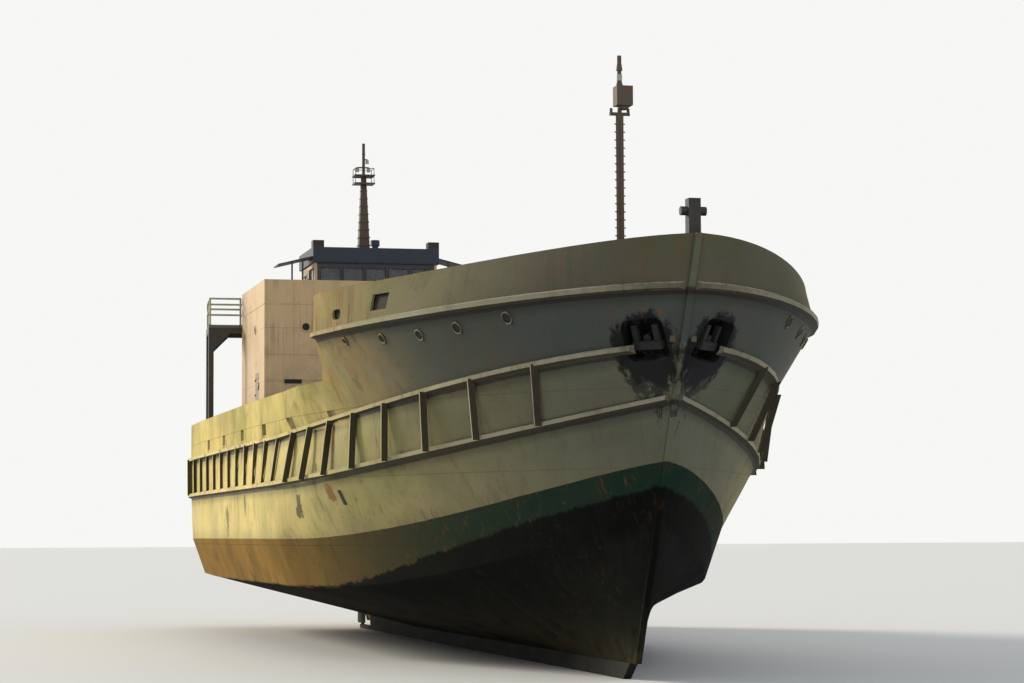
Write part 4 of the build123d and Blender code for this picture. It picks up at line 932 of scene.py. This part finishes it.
SLOT_X, SLOT_Z = 6.91, 1.02
slot_at, slot_out = plating(SLOT_X, SLOT_Z, -1), plating_normal(SLOT_X, SLOT_Z, -1)
overboard, hood = Shape(), Shape()
overboard.box(slot_at + slot_out * 0.004, (0.13, 0.02, 0.34), flat_on(slot_out))
overboard.done("overboard_slot", "opening")
hood.box(slot_at + slot_out * 0.03 + UP * 0.20, (0.24, 0.06, 0.035), flat_on(slot_out))
hood.done("overboard_slot_hood", "strake_paint", bevel=0.006)

# Deckhouse: battens on the seams of its front, round ports and a low vent slot, their panes near-black as painted shade

PORT_RADIUS, PORT_Z, TOP_SEAM_Z = 0.115, 5.71, 6.32
battens, house_rims, house_panes = Shape(), Shape(), Shape()
for z in (4.32, 4.99, TOP_SEAM_Z):
    battens.box((HOUSE_FRONT_X + 0.004, 0, z), (0.010, 8.28, 0.028))
for side, _ in SIDES:
    for y, width in ((3.37, 0.032), (1.20, 0.026)):
        battens.box((HOUSE_FRONT_X + 0.005, side * y, 4.72), (0.012, width, 4.40))
    battens.box((-9.05, side * (HOUSE_HALF_WIDTH + 0.004), TOP_SEAM_Z), (4.56, 0.010, 0.028))
    ports = [((HOUSE_FRONT_X, side * 3.05, PORT_Z), (1, 0, 0))]
    ports += [((x, side * HOUSE_HALF_WIDTH, z), (0, side, 0)) for x, z in ((-8.5, 5.75), (-10.7, 5.73))]
    for wall, outward in ports:
        inner, rim, outer = (tuple(w + reach * out for w, out in zip(wall, outward)) for reach in (-0.02, 0.006, 0.010))
        house_rims.ring(rim, outward, PORT_RADIUS, BEAD)
        # near-black pane: painted shade of the dark inside
        house_panes.rod(inner, outer, PORT_RADIUS, sides=PANE_SIDES)
# the low vent slot: a near-black plate as painted shade
house_panes.box((HOUSE_FRONT_X + 0.006, -3.39, 4.27), (0.02, 0.46, 0.11))
battens.done("house_seams", "house_paint")
house_rims.done("house_port_rims", "house_paint")
house_panes.done("house_port_panes", "opening")

# Wheelhouse: borders of the windows, gutters under the roof's edge

WINDOW_Z, WINDOW_HEIGHT, MULLION, INNER, FRONT_WINDOWS = 7.61, 0.70, 0.11, 1.73, 5
BORDER, BORDER_DEPTH, GUTTER_Z = 0.035, 0.02, 8.13
front_width = (2 * INNER - (FRONT_WINDOWS + 1) * MULLION) / FRONT_WINDOWS
borders, gutter = Shape(), Shape()
for i in range(FRONT_WINDOWS):
    y = (i - FRONT_WINDOWS // 2) * (front_width + MULLION)
    borders.frame((-13.195, y, WINDOW_Z), front_width, WINDOW_HEIGHT, BORDER, BORDER_DEPTH)
for side, _ in SIDES:
    borders.frame((-15.805, side * 0.85, WINDOW_Z), front_width, WINDOW_HEIGHT, BORDER, BORDER_DEPTH)
    borders.frame((-13.85, side * 1.805, WINDOW_Z), 0.80, WINDOW_HEIGHT, BORDER, BORDER_DEPTH, along="x")
    gutter.box((-14.5, side * 1.835, GUTTER_Z), (2.70, 0.045, 0.04))
borders.done("wheelhouse_window_borders", "dark_paint", bevel=0.004)
gutter.box((-13.155, 0, GUTTER_Z), (0.03, 3.70, 0.04))
gutter.done("roof_gutters", "roof_paint")

# Doors: handles, dogs and stiffeners, each on its own leaf

# leaf: body, middle (x, y), sill height, outward direction, top height
LEAVES = (
    ("house_door_port", (-8.14, 4.15), 2.756, (0, 1), 1.79),
    ("house_door_starboard", (-8.14, -4.15), 2.756, (0, -1), 1.79),
    ("wheelhouse_door_port", (-14.84, 1.80), 6.236, (0, 1), 1.79),
    ("wheelhouse_door_starboard", (-14.84, -1.80), 6.236, (0, -1), 1.79),
    ("casing_door", (-15.90, 0.0), 2.756, (-1, 0), 1.79),
    ("store_door", (8.15, -1.5), 2.756, (-1, 0), 1.34),
)
DOG_SHARES = (0.12, 0.36, 0.68, 0.90)
for body, (x, y), sill, (out_x, out_y), height in LEAVES:
    out = Vector((out_x, out_y, 0))
    across = Vector((-1, 0, 0)) if out_y else Vector((0, -1, 0))
    face = Vector((x, y, sill))
    fittings, stiffeners = Shape(), Shape()
    lock = face + across * 0.27 + UP * (0.52 * height)
    fittings.rod(lock - out * 0.005, lock + out * 0.05, 0.012, sides=10)
    fittings.rod(lock + out * 0.05, lock + out * 0.05 - across * 0.13, 0.011, sides=10)
    for share in DOG_SHARES:
        dog = face + across * 0.315 + UP * (share * height)
        fittings.rod(dog - out * 0.005, dog + out * 0.025, 0.016, sides=8)
        fittings.rod(dog + out * 0.022, dog + out * 0.022 - across * 0.09 + UP * 0.03, 0.009, sides=8)
    fittings.done(f"{body}_fittings", "black_iron", body)
    flat = (0.56, 0.010, 0.045) if out_y else (0.010, 0.56, 0.045)
    for share in (0.08, 0.30, 0.93) if "wheelhouse" in body else (0.08, 0.42, 0.78, 0.93):
        stiffeners.box(face + out * 0.004 + UP * (share * height), flat)
    stiffeners.done(f"{body}_stiffeners", "door_paint", body)

# Foremast: rungs, caps and lamp, lenses

FOREMAST_X, LAMP_Y = 13.2, 0.07
rung, cap, lamp = Shape(), Shape(), Shape()
rung.rod((FOREMAST_X, -0.105, 4.86), (FOREMAST_X, 0.105, 4.86), 0.012, sides=8)
grown(rung.raw("foremast_rungs"), ROW, {"Count": 22, "Step": (0, 0, 0.155)}, "mast_paint")
cap.post(FOREMAST_X, 0, 8.84, 8.95, 0.075, 0.050, sides=14)
cap.post(FOREMAST_X, 0, 9.16, 9.30, 0.065, 0.045, sides=14)
cap.post(FOREMAST_X, LAMP_Y, 8.40, 8.48, 0.11, sides=14)
for y in (-0.17, 0.17):
    cap.post(FOREMAST_X, y, 8.31, 8.42, 0.030, sides=10)
cap.box((FOREMAST_X, LAMP_Y, 8.842), (0.29, 0.31, 0.02))
cap.done("foremast_caps", "mast_paint", bevel=0.004)
lamp.rod((13.338, LAMP_Y, 8.66), (13.349, LAMP_Y, 8.66), 0.105, sides=24)
lamp.post(FOREMAST_X, 0.0, 8.96, 9.08, 0.055, sides=18)
lamp.done("foremast_lenses", "lens")

# Main mast: bands that narrow with it, rails round its two lamp stands, crossbars, lamps

MAINMAST_X, BAND_Z, TAPER_HEIGHT = -15.3, 8.86, 1.84
STAND_X, STAND_Y, STAND_RAIL = (-15.52, -15.08), (-0.28, 0.28), 0.19
band, mast_gear, signal = Shape(), Shape(), Shape()
band.box((MAINMAST_X, 0, BAND_Z), (0.36, 0.36, 0.030))
bands = grown(band.raw("mainmast_bands"), ROW, {"Count": 8, "Step": (0, 0, 0.235)}, "mast_paint")
for vert in bands.data.vertices:
    share = 1.0 - 0.50 * (vert.co.z - BAND_Z) / TAPER_HEIGHT
    vert.co.x = MAINMAST_X + (vert.co.x - MAINMAST_X) * share
    vert.co.y *= share
for z in (10.74, 10.98):
    for x in STAND_X:
        for y in STAND_Y:
            mast_gear.post(x, y, z - 0.01, z + 0.20, 0.010, sides=8)
        mast_gear.rod((x, STAND_Y[0], z + STAND_RAIL), (x, STAND_Y[1], z + STAND_RAIL), 0.010, sides=8)
    for y in STAND_Y:
        mast_gear.rod((STAND_X[0], y, z + STAND_RAIL), (STAND_X[1], y, z + STAND_RAIL), 0.010, sides=8)
for low_y, high_y, z in ((-0.20, 0.16, 11.22), (-0.04, 0.12, 11.46)):
    mast_gear.rod((MAINMAST_X, low_y, z), (MAINMAST_X, high_y, z), 0.016, sides=8)
mast_gear.post(MAINMAST_X, 0.0, 11.60, 11.74, 0.055, 0.035, sides=14)
mast_gear.done("mainmast_gear", "mast_paint")
# lamp: place across, foot, head, radius
LAMPS = ((-0.19, 11.08, 11.21, 0.055), (0.15, 11.08, 11.21, 0.055), (0.11, 11.33, 11.45, 0.050))
for y, foot, head, radius in LAMPS:
    signal.post(MAINMAST_X, y, foot, head, radius, sides=16)
signal.done("mainmast_lamps", "lens")
sidelights = Shape()
for side, _ in SIDES:
    sidelights.post(-13.30, side * 1.70, 8.59, 8.72, 0.055, sides=16)
sidelights.done("sidelight_lenses", "lens")

# Hatch: ribs across the covers' tops, grips along their free edges, stiffeners outside the coaming

GRIP_Y, GRIP_LOW, GRIP_TOP = 0.16, 3.35, 3.41
for side, side_name in SIDES:
    rib, grips, stiffener = Shape(), Shape(), Shape()
    cover = f"hatch_cover_{side_name}"
    rib.box((-4.0, side * 1.25, 3.375), (0.055, 2.30, 0.045))
    grown(rib.raw(f"cover_ribs_{side_name}"), ROW, {"Count": 15, "Step": (0.715, 0, 0)}, "cover_paint", cover)
    y = side * GRIP_Y
    for x in (-3.2, 1.0, 5.2):
        for leg_x in (x - 0.10, x + 0.10):
            grips.post(leg_x, y, GRIP_LOW, GRIP_TOP, 0.011, sides=8)
        grips.rod((x - 0.11, y, GRIP_TOP), (x + 0.11, y, GRIP_TOP), 0.011, sides=8)
    grips.done(f"cover_grips_{side_name}", "black_iron", cover)
    stiffener.box((-4.1, side * 2.515, 2.86), (0.020, 0.09, 0.66))
    grown(stiffener.raw(f"coaming_stiffeners_{side_name}"), ROW, {"Count": 18, "Step": (0.6, 0, 0)}, "deck_paint")

# Stays inside the bulwarks


def run_of(name, points):
    """Object whose mesh is one line through the points."""
    data = bpy.data.meshes.new(name)
    data.from_pydata(points, [(i, i + 1) for i in range(len(points) - 1)], [])
    return linked(name, data)


for side, side_name in SIDES:
    well, raised = [], []
    for i in range(19):
        x = -10.4 + i * 0.95
        inner = min(abs(plating(x, z, side).y) for z in (2.56, 2.95, 3.36)) - BULWARK_THICKNESS
        well.append((x, side * (inner - 0.15), MAIN_DECK_Z + 0.44))
    grown(run_of(f"well_stays_{side_name}", well), STAYS,
          {"Pitch": 1.19, "Size": (0.012, 0.075, 0.88), "Lean": (side * -0.30, 0, 0)}, "bulwark_paint")
    for i in range(24):
        x = 8.7 + i * 0.31
        raised.append((x, plating(x, 4.86, side).y - side * 0.30, 4.80))
    grown(run_of(f"forecastle_stays_{side_name}", raised), STAYS,
          {"Pitch": 1.04, "Size": (0.012, 0.065, 0.80), "Lean": (side * -0.42, 0, 0)}, "bulwark_paint")

# Floor and light

bpy.ops.mesh.primitive_plane_add(size=1200, location=(0, 0, cad_low.z))
floor = bpy.context.object
floor.name = "studio_floor"
floor_finish, w, shader = material("pale floor")
w.fill(shader, {"Base Color": (0.78, 0.78, 0.77, 1), "Roughness": 0.85})
floor.data.materials.append(floor_finish)
floor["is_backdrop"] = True

# the backdrop shows white to the camera, through glass and in sheens; all else is lit by the softer sky
world = bpy.data.worlds.new("studio")
bpy.context.scene.world = world
world.use_nodes = True
w = Wiring(world.node_tree)
soft = world.node_tree.nodes["Background"]
w.fill(soft, {"Color": (0.90, 0.94, 1.0, 1), "Strength": 0.50})
backdrop = w.add("ShaderNodeBackground", {"Color": (0.93, 0.93, 0.92, 1), "Strength": 1.0})
path = w.add("ShaderNodeLightPath").outputs
seen = w.plus(w.plus(path["Is Camera Ray"], path["Is Transmission Ray"]), path["Is Glossy Ray"], clamp=True)
choice = w.add("ShaderNodeMixShader", {0: seen, 1: soft.outputs[0], 2: backdrop.outputs[0]})
w.put(world.node_tree.nodes["World Output"].inputs["Surface"], choice.outputs[0])


def sun(name, towards, strength, softness, colour):
    """Far lamp in a direction seen from the ship."""
    lamp = bpy.data.lights.new(name, "SUN")
    lamp.energy = strength
    lamp.angle = math.radians(softness)
    lamp.color = colour
    holder = linked(name, lamp)
    holder.rotation_mode = "QUATERNION"
    holder.rotation_quaternion = Vector(towards).to_track_quat("Z", "Y")


sun("key", (-0.70, -0.62, 0.36), 3.0, 16, (1.0, 0.92, 0.76))
sun("fill", (0.80, 0.25, 0.60), 0.40, 60, (0.86, 0.93, 1.0))

# Camera: at the photo's viewpoint, framing the ship's part of the photo

TRIM, HEADING = math.radians(1.22), math.radians(5.88)
EYE = (61.4, -13.5, 0.22)
# in the photo's pixels: focal length, middle column, row of the horizon, the framed part's centre and width
FOCUS, MIDDLE, HORIZON, FRAMED, FRAMED_WIDTH = 768.0, 512.0, 370.1, (611.0, 329.0), 304.0
SENSOR = 36.0
level = Vector((-math.cos(HEADING), math.sin(HEADING), math.cos(HEADING) * math.tan(TRIM))).normalized()
right = level.cross(Vector((math.sin(TRIM), 0, math.cos(TRIM)))).normalized()
above = right.cross(level)
ray = level + right * ((FRAMED[0] - MIDDLE) / FOCUS) + above * ((HORIZON - FRAMED[1]) / FOCUS)
back = -ray.normalized()
side_axis = above.cross(back).normalized()
camera_data = bpy.data.cameras.new("camera")
camera = linked("camera", camera_data)
camera.location = EYE
camera.rotation_mode = "QUATERNION"
camera.rotation_quaternion = Matrix((side_axis, back.cross(side_axis), back)).transposed().to_quaternion()
camera_data.sensor_width = SENSOR
camera_data.lens = SENSOR * FOCUS * ray.length / FRAMED_WIDTH
camera_data.clip_start = 1.0
camera_data.clip_end = 2000.0
bpy.context.scene.camera = camera
bpy.context.scene.view_settings.view_transform = "Standard"

low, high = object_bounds()
